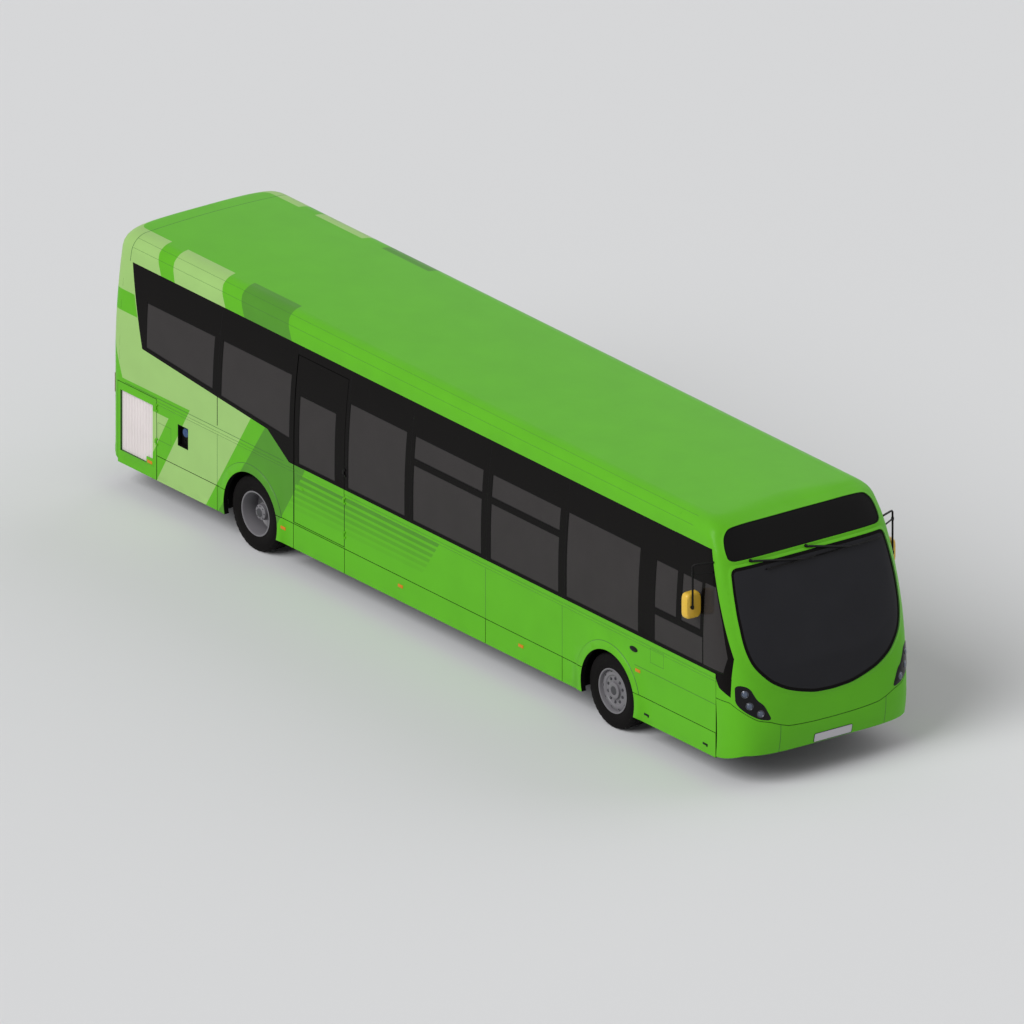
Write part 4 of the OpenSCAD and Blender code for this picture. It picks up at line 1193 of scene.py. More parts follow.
    def tail(self) -> None:
        """Builds the rear panel, the eyes of the engine cover and the rear bumper."""
        window = self.rear_window()
        turn = FORM.quarter
        edge = [(u, TAIL_FOOT) for u in np.linspace(-turn, turn, 60)] + [(turn, FORM.top)]
        edge += [(u, FORM.top) for u in np.linspace(turn, -turn, 60)][1:]
        zones = LIVERY.on_tail()
        for hand in (-1, 1):
            for z0, z1 in ((1.5, 1.62), (1.66, 1.78), (2.1, 2.2), (2.35, 2.45)):
                a, b = FORM.cap_by_side(-1, [(-5.6, z0), (-5.6, z1)], hand)
                zones.append((GASKET_AND_SHADE, line(a, b, 0.008)))
        panel = Sheet(
            FORM.cap(-1), edge, GREEN, [window], zones, [offset(window, -0.012), offset(window, -0.03)],
            (0.06, 0.06), self.skin, relief=self._lip(window, 0.005, 0.035),
        )
        piece = dress(panel.build("tail_panel"), "bus_body", "green_paint", "rear_panel")
        hinge = Shape()
        for hand in (-1, 1):
            for y in (0.64, 0.697):
                self._pin(hinge, hand * y, hand * (y + 0.025))
        eye = dress(hinge.build("engine_cover_eyes"), "bus_body", "trim_black")
        eye.parent = piece
        low_rows = ((0, 0.393), (60, 0.393), (84, 0.33), (90, 0.33))
        low = self._by_turn(-1, low_rows, 5.64)
        side = FORM.cap_by_side(-1, [(-5.64, TAIL_FOOT)], 1)[0][0]
        high = [(float(u), TAIL_FOOT) for u in np.linspace(side, -side, 50)]
        gap = FORM.cap_by_front(-1, fine(box_loop(-0.868, 0.868, 0.56, 1.3), 0.05))
        # The bumper's back is dark: painted shade where gaps show the inside
        bumper = Sheet(
            FORM.cap(-1), low + high, GREEN, [gap], LIVERY.on_tail(), [[(-side, 0.5), (side, 0.5)]], (0.06, 0.07),
            self.skin, relief=lambda u, v: 0.004 * np.clip((0.5 - v) / 0.02, 0, 1) * (np.abs(u) < 1.2),
            lining=CHASSIS_AND_SHADE,
        )
        dress(bumper.build("rear_bumper_panel"), "bus_body", "green_paint", "rear_bumper")

    def engine_cover(self) -> None:
        """Builds the hinged engine cover with its louvres and latch."""
        edge = FORM.cap_by_front(-1, fine(box_loop(-0.86, 0.86, 0.568, 1.234), 0.05))
        grid = FORM.cap_by_front(-1, fine(box_loop(-0.62, 0.62, 0.68, 0.98), 0.05))
        us = [u for u, _ in grid]
        right, left = min(us), max(us)

        def louvres(u: Array, v: Array) -> Array:
            within = (u > right) & (u < left) & (v > 0.68) & (v < 0.98)
            return np.where(within, 0.006 * (1 - np.mod(v - 0.68, 0.03) / 0.03) - 0.003, 0)

        heights = [*np.arange(0.68, 0.981, 0.015), *np.arange(0.7095, 0.98, 0.03)]
        # The cover's back is dark: painted shade where gaps show the inside
        cover = Sheet(
            FORM.cap(-1), edge, GREEN, (), [(TRIM, grid)], [[(right, v), (left, v)] for v in heights],
            (0.08, 0.08), 0.038, relief=louvres, lining=CHASSIS_AND_SHADE,
        )
        piece = dress(cover.build("engine_lid"), "engine_cover", "green_paint", "engine_cover")
        latch = Shape()
        for hand in (-1, 1):
            self._pin(latch, hand * 0.666, hand * 0.696)
            latch.block((-5.8455, hand * 0.5 - 0.05, 0.605), (-5.836, hand * 0.5 + 0.05, 0.635), TRIM, 0.003)
        part = dress(latch.build("engine_lid_latches"), "engine_cover", "trim_black")
        part.parent = piece


def join(parts: Sequence[bpy.types.Object], name: str) -> bpy.types.Object:
    """Joins objects into one and gives it a name."""
    verts, faces, index, normals = [], [], [], []
    slots: list[bpy.types.Material] = []
    for obj in parts:
        mesh = obj.data
        start = len(verts)
        verts += [v.co[:] for v in mesh.vertices]
        normal = {}
        for loop, n in zip(mesh.loops, mesh.corner_normals):
            normal[loop.vertex_index] = n.vector[:]
        normals += [normal.get(i, (0.0, 0.0, 1.0)) for i in range(len(mesh.vertices))]
        for face in mesh.polygons:
            faces.append([start + i for i in face.vertices])
            mat = mesh.materials[face.material_index]
            if mat not in slots:
                slots.append(mat)
            index.append(slots.index(mat))
        bpy.data.objects.remove(obj)
    whole = mesh_object(name, np.array(verts), faces, [])
    for mat in slots:
        whole.data.materials.append(mat)
    whole.data.polygons.foreach_set("material_index", np.array(index, np.int32))
    whole.data.normals_split_custom_set_from_vertices(normals)
    return whole


# ---- Glass ----


@dataclass
class Glazing:
    """Every fixed pane, each in its gasket."""

    bead: float = 0.014
    common: tuple[tuple[Point, ...], ...] = (
        ((-5.121, 1.784), (-3.89, 1.684), (-3.89, PANE_TOP), (-5.143, PANE_TOP)),
        ((-3.75, 1.657), (-2.485, 1.554), (-2.485, PANE_TOP), (-3.75, PANE_TOP)),
    )

    def panes(self, hand: int) -> list[list[Point]]:
        """Outlines of a side's panes in x and z."""
        out = [list(p) for p in self.common] + [box_loop(-1.424, -0.374, PANE_FOOT, PANE_TOP)]
        for x0, x1 in ((-0.235, 1.027), (1.185, 2.443)):
            out += [box_loop(x0, x1, PANE_FOOT, 1.975), box_loop(x0, x1, 2.035, PANE_TOP)]
        if hand < 0:
            return out + [
                box_loop(2.574, 3.904, PANE_FOOT, PANE_TOP), box_loop(4.187, 4.595, 1.7, 2.265),
                box_loop(4.675, 5.04, 1.7, 2.265), box_loop(4.187, 5.08, PANE_FOOT, 1.64),
            ]
        return out + [box_loop(-2.326, -1.56, PANE_FOOT, PANE_TOP), box_loop(2.574, 3.79, PANE_FOOT, PANE_TOP)]

    def side(self, hand: int) -> None:
        """Builds one side's panes as one piece."""
        name = SIDES[hand]
        parts = []
        for i, loop in enumerate(self.panes(hand)):
            edge, clear = side_loop(offset(loop, PANE_GAP)), side_loop(offset(loop, self.bead))
            parts.append(pane(FORM.side(hand), edge, [(PANE, clear)], (0.3, 0.12), -0.001).build(f"pane_{i}"))
        dress(join(parts, f"side_glass_{name}"), "bus_body", "dark_glass", f"side_windows_{name}")

    def nose(self, shell: Shell) -> None:
        """Builds the windscreen, the destination window and the quarter windows."""
        skin, loop = FORM.cap(1), shell.screen()
        zones = [(BAND, offset(loop, 0.012)), (SCREEN, offset(loop, 0.035))]
        screen = pane(skin, offset(loop, PANE_GAP), zones, (0.08, 0.08), -0.003)
        dress(screen.build("windscreen_glass"), "bus_body", "dark_glass", "windscreen")
        loop = shell.sign()
        sign = pane(skin, offset(loop, PANE_GAP), [(BAND, offset(loop, 0.012))], (0.08, 0.06), -0.012)
        dress(sign.build("destination_window"), "bus_body", "dark_glass", "destination_glass")
        parts = []
        for i, loop in enumerate(shell.quarters()):
            zones = [(PANE, offset(loop, 0.012))]
            quarter = pane(skin, offset(loop, PANE_GAP), zones, (0.06, 0.08), -0.001, BAND)
            parts.append(quarter.build(f"quarter_{i}"))
        dress(join(parts, "quarter_glass"), "bus_body", "dark_glass", "quarter_windows")

    def tail(self, shell: Shell) -> None:
        """Builds the rear window."""
        loop = shell.rear_window()
        zones = [(BAND, offset(loop, 0.015)), (PANE, offset(loop, 0.06))]
        sheet = pane(FORM.cap(-1), offset(loop, PANE_GAP), zones, (0.08, 0.08), -0.002)
        dress(sheet.build("rear_glass"), "bus_body", "dark_glass", "rear_window")


# ---- Doors ----


def flat(y: float) -> Surface:
    """An upright plane at y, by x and z."""
    return lambda u, v: np.stack([u, 0 * u + y, v], 1)


@dataclass
class Doors:
    """Emergency door, radiator door and the two entrance leaves."""

    hinge_y: float = -1.228
    escape: tuple[float, ...] = (-2.4, -1.49, 0.608, 2.552)
    pane: tuple[float, ...] = (-2.326, -1.652, PANE_FOOT, 2.12)
    radiator: tuple[float, ...] = (-5.632, -4.927, 0.293, 1.242)
    grille: tuple[float, ...] = (-5.581, -4.989, 0.444, 1.155)
    knuckles: tuple[float, ...] = (0.75, 1.15, 1.48)
    leaf_y: Point = (1.12, 1.16)
    leaf_z: Point = (0.36, 2.392)

    def _hinges(self, x: float, heights: Sequence[float], moving: bool) -> Shape:
        """Adds the eyes that stay or the knuckles that move, about one upright pin."""
        shape = Shape()
        for z in heights:
            paint = TRIM if z > 1.29 else GREEN
            spans = [(z - 0.021, z + 0.021)] if moving else [(z - 0.042, z - 0.022), (z + 0.022, z + 0.042)]
            for low, high in spans:
                shape.turned(
                    [(0.0055, low), (0.007, low + 0.002), (0.007, high - 0.002), (0.0055, high)],
                    (x, self.hinge_y, 0), (0, 0, 1), paint, 16,
                )
                x0, x1 = (x - 0.026, x) if moving else (x, x + 0.026)
                shape.block((x0, self.hinge_y - 0.003, low), (x1, -1.217, high), paint, 0.002)
        return shape

    def emergency(self, shell: Shell) -> None:
        """Builds the emergency door with its glass, hinges and handle."""
        hole = box_loop(*self.pane)
        # The door's rim faces are black: painted shade in the gap round the door
        sheet = Sheet(
            FORM.side(-1), side_loop(box_loop(*self.escape)), GREEN, [side_loop(hole)], LIVERY.on_side(),
            [[(-2.5, z), (-1.4, z)] for z in (1.184, 1.19, 1.196, 1.216, 1.222, 1.232, 1.286, 1.287)], (0.2, 0.09),
            0.05, relief=shell._swell, edge=GASKET_AND_SHADE,
        )
        dress(sheet.build("emergency_door_panel"), "emergency_door", "green_paint", "emergency_door")
        edge, clear = side_loop(offset(hole, PANE_GAP)), side_loop(offset(hole, 0.014))
        glass = pane(FORM.side(-1), edge, [(PANE, clear)], (0.3, 0.12), -0.001)
        dress(glass.build("emergency_door_pane"), "emergency_door", "dark_glass", "emergency_door_glass")
        furniture = self._hinges(-1.486, self.knuckles, True)
        furniture.block((-2.36, -1.226, 1.02), (-2.24, -1.216, 1.05), GREEN, 0.004)
        furniture.turned([(0.024, 0), (0.024, 0.003), (0.02, 0.006)], (-2.36, -1.219, 1.035), (0, -1, 0), GREEN, 24)
        dress(furniture.build("emergency_door_furniture"), "emergency_door", "trim_black")
        dress(self._hinges(-1.486, self.knuckles, False).build("emergency_door_eyes"), "bus_body", "trim_black")
        dress(self._hinges(-4.923, self.knuckles[:2], False).build("radiator_door_eyes"), "bus_body", "trim_black")

    def radiator_door(self) -> None:
        """Builds the radiator door with its upright slats."""
        x0, x1, z0, z1 = self.grille
        hole = box_loop(x0, x1, z0, z1)
        frame = Sheet(
            FORM.side(-1), box_loop(*self.radiator), GREEN, [hole], LIVERY.on_side(), [offset(hole, -0.01)],
            (0.15, 0.1), 0.036, relief=lambda u, v: 0.004 * (1 - depth_share(u, v, hole, 0.01)),
        )
        dress(frame.build("radiator_door_frame"), "radiator_door", "green_paint", "radiator_door")
        count = 21
        pitch = (x1 - x0) / count
        slats = Shape()
        for i in range(count):
            c = x0 + (i + 0.5) * pitch
            half = pitch * 0.42
            rings = [
                np.array([(c - half, -1.192, z), (c - half * 0.55, -1.201, z), (c + half * 0.55, -1.201, z),
                          (c + half, -1.192, z), (c, -1.187, z)])
                for z in (z0 + 0.001, z1 - 0.001)
            ]
            slats.loft(rings, GRILLE)
        slats.block((x0 + 0.001, -1.188, z0 + 0.001), (x1 - 0.001, -1.1845, z1 - 0.001), GRILLE, 0.001)
        for z in (z0 + 0.16, z0 + 0.36, z0 + 0.56):
            slats.block((x0 + 0.002, -1.192, z), (x1 - 0.002, -1.187, z + 0.012), GRILLE, 0.002)
        slats.block((-5.112, -1.223, 0.432), (-4.966, -1.205, 0.518), GREEN, 0.008)
        slats.block((-5.088, -1.227, 0.453), (-4.998, -1.22, 0.489), LENS_AMBER, 0.003)
        dress(slats.build("radiator_grille"), "radiator_door", "grille_white")
        knuckles = self._hinges(-4.923, self.knuckles[:2], True)
        dress(knuckles.build("radiator_door_knuckles"), "radiator_door", "trim_black")

    def leaf(self, name: str, post: float, edge: float) -> None:
        """Builds one entrance leaf with its glass, seals, barrel and grab bar.

        Args:
            name: front or rear.
            post: x of the post it turns about.
            edge: x of its meeting edge.
        """
        way = 1 if edge > post else -1
        y0, y1 = self.leaf_y
        z0, z1 = self.leaf_z
        outline = box_loop(min(post, edge), max(post, edge), z0, z1)
        xs = sorted((post + way * 0.05, edge - way * 0.045))
        hole = eased(box_loop(xs[0], xs[1], z0 + 0.16, z1 - 0.09), reach=0.03)
        frame = Sheet(
            flat(y1), outline, TRIM, [hole], (), [offset(hole, -0.012)], (0.1, 0.1), y1 - y0, edge=TRIM, lining=TRIM,
            relief=lambda u, v: -0.003 * (1 - depth_share(u, v, hole, 0.012)),
            outward=(0, 1, 0),
        )
        body = f"entrance_leaf_{name}"
        dress(frame.build(f"entrance_frame_{name}"), body, "black_frame", f"entrance_door_{name}")
        glass = Sheet(
            flat(y1 - 0.016), offset(hole, 0.001), GASKET_AND_SHADE, (), [(PANE, offset(hole, 0.012))], (), (0.2, 0.2), 0.008,
            edge=GASKET_AND_SHADE, lining=PANE, outward=(0, 1, 0),
        )
        dress(glass.build(f"entrance_pane_{name}"), body, "dark_glass", f"entrance_glass_{name}")
        parts = Shape()
        mid = (y0 + y1) / 2
        for low, high in ((z0, z0 + 0.05), (z1 - 0.05, z1)):
            barrel = [(0.011, low), (0.0195, low), (0.0195, high), (0.011, high)]
            parts.turned(barrel, (post, mid, 0), (0, 0, 1), RIM_DARK, 24, closed=True)
        parts.rod([(post, mid, z0 + 0.05), (post, mid, z1 - 0.05)], 0.0195, TRIM, 20)
        parts.rod([(edge - way * 0.004, mid, z0 + 0.004), (edge - way * 0.004, mid, z1 - 0.004)], 0.0035, GASKET_AND_SHADE, 8)
        bar = edge - way * 0.022
        parts.rod([(bar, y0 + 0.002, 1.06), (bar, y0 - 0.028, 1.09), (bar, y0 - 0.03, 1.12), (bar, y0 - 0.03, 1.54),
                   (bar, y0 - 0.028, 1.57), (bar, y0 + 0.002, 1.6)], 0.011, RAIL)
        dress(parts.build(f"entrance_fittings_{name}"), body, "black_frame")


# ---- Lamps and trim ----


@dataclass
class Lamps:
    """Headlights, tail lights and side markers."""

    head: tuple[Point, ...] = (
        (1.16, 1.222), (1.05, 1.2), (0.975, 1.038), (0.91, 0.991), (0.82, 0.796), (0.965, 0.823), (1.09, 0.905),
        (1.16, 0.993),
    )
    bulbs: tuple[tuple[float, float, float], ...] = ((1.09, 1.12, 0.037), (1.055, 0.985, 0.037), (0.95, 0.89, 0.036))
    # The first marker sits where the left side has its doorway
    markers: tuple[Point, ...] = ((3.892, 0.863), (-2.603, 0.472), (-0.454, 0.473), (1.751, 0.471))
    latches: Point = (4.051, 5.125)

    def _spot(self, surface: Surface, u: float, v: float) -> tuple[Array, Array]:
        """Point and outward normal of a surface."""
        sheet = Sheet(surface, [(0, 0)], GREEN)
        at = np.array([u]), np.array([v])
        return surface(*at)[0], sheet._bare_normals(surface, *at)[0]

    def headlights(self) -> None:
        """Builds both headlights: a smoked housing with three round lamps."""
        parts, lamps = [], Shape()
        for hand in (-1, 1):
            loop = FORM.cap_by_front(1, fine(eased([(hand * y, z) for y, z in self.head], reach=0.03), 0.03))
            sheet = Sheet(
                FORM.cap(1), loop, LENS_BLACK, (), (), [offset(loop, 0.012)], (0.05, 0.04), 0.002, lift=0.002,
                relief=lambda u, v, edge=loop: 0.005 * depth_share(u, v, edge, 0.012),
                edge=TRIM, lining=TRIM,
            )
            parts.append(sheet.build(f"lamp_{hand}"))
            for y, z, r in self.bulbs:
                (u, v), = FORM.cap_by_front(1, [(hand * y, z)])
                p, n = self._spot(FORM.cap(1), u, v)
                p = p + n * 0.005
                bezel = [(r + 0.006, -0.006), (r + 0.006, 0.003), (r, 0.006), (r - 0.004, 0.002)]
                lamps.turned(bezel, p, n, REFLECTOR, 40)
                lens = [(r - 0.003, 0.0), (r - 0.006, 0.004), (r * 0.6, 0.009), (r * 0.25, 0.011)]
                lamps.turned(lens, p, n, LENS_CLEAR, 40)
        dress(join(parts, "headlight_housings"), "bus_body", "lamp_black", "headlights")
        dress(lamps.build("headlight_bulbs"), "bus_body", "lamp_black")

    def tails(self) -> None:
        """Builds both tail lights, each with three fields behind one lens."""
        parts = []
        steps = (1.062, 1.07, 1.283, 1.291)
        for hand in (-1, 1):
            us = []
            for t in (42, 66):
                p, q = (abs(f(math.radians(t))) ** (2 / 4.5) for f in (math.cos, math.sin))
                us.append(hand * float(FORM._turn(p, q)))
            u0, u1 = sorted(us)
            loop = eased(box_loop(u0, u1, 0.8, 1.37), reach=0.03)
            zones = [
                (finish, offset(box_loop(u0, u1, z0, z1), 0.012))
                for finish, z0, z1 in ((LENS_AMBER, 1.283, 1.37), (LENS_CLEAR, 0.8, 0.92), (LENS_RED, 0.92, 1.283))
            ]
            sheet = Sheet(
                FORM.cap(-1), loop, LENS_RED, (), zones, [offset(loop, 0.012)] + [[(u0, z), (u1, z)] for z in steps],
                (0.04, 0.06), 0.002, lift=0.002, edge=TRIM, lining=TRIM,
                relief=lambda u, v, edge=loop: (
                    0.009 * depth_share(u, v, edge, 0.012) * np.interp(v, steps, (0.2, 1, 1, 0.2))
                ),
            )
            parts.append(sheet.build(f"tail_{hand}"))
        dress(join(parts, "tail_light_lenses"), "bus_body", "lamp_red", "tail_lights")

    def side_markers(self) -> None:
        """Builds the amber markers along both sides, and the latches and oval of the right."""
        shape = Shape()
        for hand in (-1, 1):
            right = hand < 0
            y0, y1 = sorted((hand * 1.2165, hand * 1.227))
            for x, z in self.markers if right else self.markers[1:]:
                shape.block((x - 0.045, y0, z - 0.018), (x + 0.045, y1, z + 0.018), LENS_AMBER, 0.006)
            for x in self.latches if right else ():
                shape.block((x - 0.045, -1.2245, 0.382), (x + 0.045, -1.2165, 0.406), TRIM, 0.006)
                shape.block((x + 0.018, -1.2245, 0.37), (x + 0.042, -1.2165, 0.39), TRIM, 0.004)
        rings = []
        for depth, grow in ((0.0, 0.0), (0.004, 0.0), (0.0065, -0.006)):
            rings.append(np.array([
                (3.815 + (0.072 + grow) * math.cos(a), -1.2195 - depth, 1.094 + (0.032 + grow) * math.sin(a))
                for a in np.linspace(0, 2 * math.pi, 40, endpoint=False)
            ]))
        shape.loft(rings, TRIM)
        dress(shape.build("side_markers"), "bus_body", "lamp_black")


@dataclass
class Trim:
    """Mirrors, wipers, plates and the filler recess."""

    mirror_x: float = 5.085
    mirror_y: float = 1.362
    head_y: float = 1.3265
    head_half: float = 0.104
    mirror_z: Point = (1.874, 2.174)

    def _head_ring(self, hand: int, depth: float, grow: float) -> Array:
        """One rounded oblong ring of a mirror head, behind its stay by a depth."""
        z0, z1 = self.mirror_z
        ring = []
        for a in np.linspace(0, 2 * math.pi, 64, endpoint=False):
            c, s = math.cos(a), math.sin(a)
            r = grow * (abs(c) ** 5 + abs(s) ** 5) ** (-1 / 5)
            y, z = hand * self.head_y + self.head_half * r * c, (z0 + z1) / 2 + (z1 - z0) / 2 * r * s
            ring.append((self.mirror_x - 0.02 - depth, y, z))
        return np.array(ring)

    def mirrors(self) -> None:
        """Builds both mirror arms and heads."""
        arms, heads = Shape(), Shape()
        for hand in (-1, 1):
            x, y = self.mirror_x, hand * self.mirror_y
            arms.rod(
                [(5.1885, hand * 1.152, 2.535), (5.158, hand * 1.212, 2.531), (5.11, hand * 1.31, 2.524),
                 (5.093, hand * 1.345, 2.518), (x, y, 2.5), (x, y, 2.47), (x, y, 2.2), (x, y, 2.012)], 0.0115, TRIM, 14,
            )
            arms.rod([(x, y, 2.42), (5.138, hand * 1.267, 2.42), (5.192, hand * 1.171, 2.42)], 0.0095, TRIM, 12)
            arms.rod([(x, y, 2.02), (x - 0.02, y, 2.02)], 0.0155, TRIM, 16)
            clamp = [(0.0145, -0.02), (0.0165, -0.012), (0.017, 0), (0.0165, 0.012), (0.0145, 0.02)]
            for height in (2.42, 2.02):
                arms.turned(clamp, (x, y, height), (0, 0, 1), TRIM, 20)
            for finish, steps in (
                (MIRROR_SHELL, ((0.0, 0.78), (0.004, 0.9), (0.014, 0.965), (0.03, 0.99), (0.06, 1.0), (0.087, 1.0),
                                (0.093, 0.985), (0.095, 0.95))),
                (SILVERED, ((0.0935, 0.9), (0.0949, 0.88))),
            ):
                heads.loft([self._head_ring(hand, depth, grow) for depth, grow in steps], finish)
            boss = [(0.03, -0.004), (0.03, 0.003), (0.02, 0.0055)]
            heads.turned(boss, (x - 0.0255, y, 2.02), (1, 0, 0), MIRROR_SHELL, 28)
        dress(arms.build("mirror_tubes"), "bus_body", "trim_black", "mirror_arms")
        dress(heads.build("mirror_shells"), "bus_body", "mirror_yellow", "mirror_heads")

    def wipers(self) -> None:
        """Builds both wipers, parked along the top of the windscreen."""
        shape = Shape()
        for pivot, y0, y1 in ((-0.77, -0.6, 0.38), (-0.02, 0.06, 0.96)):
            p = FORM.nose_point(pivot, 2.515)
            mid = (y0 + y1) / 2
            centre, length, _ = FORM.end_plan(1, np.array(2.4))
            tip = float(centre + length)
            shape.turned([(0.02, 0.002), (0.02, 0.014), (0.014, 0.02), (0.012, 0.034)], p, (1, 0, 0), TRIM, 24)
            a, b = np.array([p[0] + 0.028, pivot, 2.515]), np.array([tip + 0.034, mid, 2.405])
            shape.rod([a, a * 0.7 + b * 0.3 + [0.002, 0, 0], a * 0.3 + b * 0.7 + [0.002, 0, 0], b], 0.0105, TRIM, 10)
            shape.rod([a + [0, 0.03, 0.004], a * 0.3 + b * 0.7 + [0.002, 0.03, 0.004]], 0.0045, TRIM, 8)
            ys = np.linspace(y0, y1, 15)
            xs = [float(FORM.nose_point(float(y), 2.398)[0]) for y in ys]
            shape.rod([(x + 0.02, y, 2.399) for x, y in zip(xs, ys)], 0.0095, TRIM, 8)
            shape.rod([(x + 0.008, y, 2.394) for x, y in zip(xs, ys)], 0.0045, GASKET_AND_SHADE, 6)
            yoke = [(tip + 0.03, mid - 0.16, 2.403), (tip + 0.034, mid, 2.407), (tip + 0.03, mid + 0.16, 2.403)]
            shape.rod(yoke, 0.006, TRIM, 8)
        dress(shape.build("wiper_arms_and_blades"), "bus_body", "trim_black", "wipers")

    def plates(self) -> None:
        """Builds the two blank number plates."""
        parts = []
        for end, z0, z1 in ((1, 0.402, 0.513), (-1, 0.425, 0.536)):
            loop = FORM.cap_by_front(end, fine(eased(box_loop(-0.26, 0.26, z0, z1), reach=0.012), 0.05))
            sheet = Sheet(
                FORM.cap(end), loop, GASKET_AND_SHADE, (), [(PLATE, offset(loop, 0.006))], (), (0.08, 0.04), -0.0005,
                lift=0.004, edge=GASKET_AND_SHADE, lining=GASKET_AND_SHADE,
            )
            parts.append(sheet.build(f"plate_{end}"))
        dress(join(parts, "blank_plates"), "bus_body", "plate_white", "number_plates")

    def filler(self) -> None:
        """Builds the open recess with its hooded cap."""
        x0, x1, z0, z1 = FILLER
        shape = Shape()
        shape.block((x0, -1.166, z0), (x1, -1.16, z1), TRIM, 0.002)
        for low, high in (((x0, -1.219, z0), (x0 + 0.006, -1.161, z1)), ((x1 - 0.006, -1.219, z0), (x1, -1.161, z1)),
                          ((x0, -1.219, z0), (x1, -1.161, z0 + 0.006)), ((x0, -1.219, z1 - 0.006), (x1, -1.161, z1))):
            shape.block(low, high, TRIM, 0.0015)
        profile = [(0.055, 0.0), (0.055, 0.022), (0.05, 0.027), (0.049, 0.036), (0.044, 0.038), (0.03, 0.0385)]
        shape.turned(
            profile, (-4.42, -1.165, 1.004), (0, -1, 0), CAP_BLUE, 60,
            wave=lambda i, j: -0.0025 if i in (2, 3) and j % 5 == 0 else 0.0,
        )
        shape.block((-4.426, -1.2045, 0.972), (-4.414, -1.2, 1.036), CAP_BLUE, 0.003)
        shape.rod([(-4.47, -1.17, 0.9), (-4.45, -1.18, 0.885), (-4.42, -1.183, 0.885), (-4.4, -1.175, 0.91),
                   (-4.4, -1.168, 0.945)], 0.006, GASKET_AND_SHADE, 8)
        dress(shape.build("filler_recess"), "bus_body", "trim_black", "filler_box")


# ---- Wheels ----


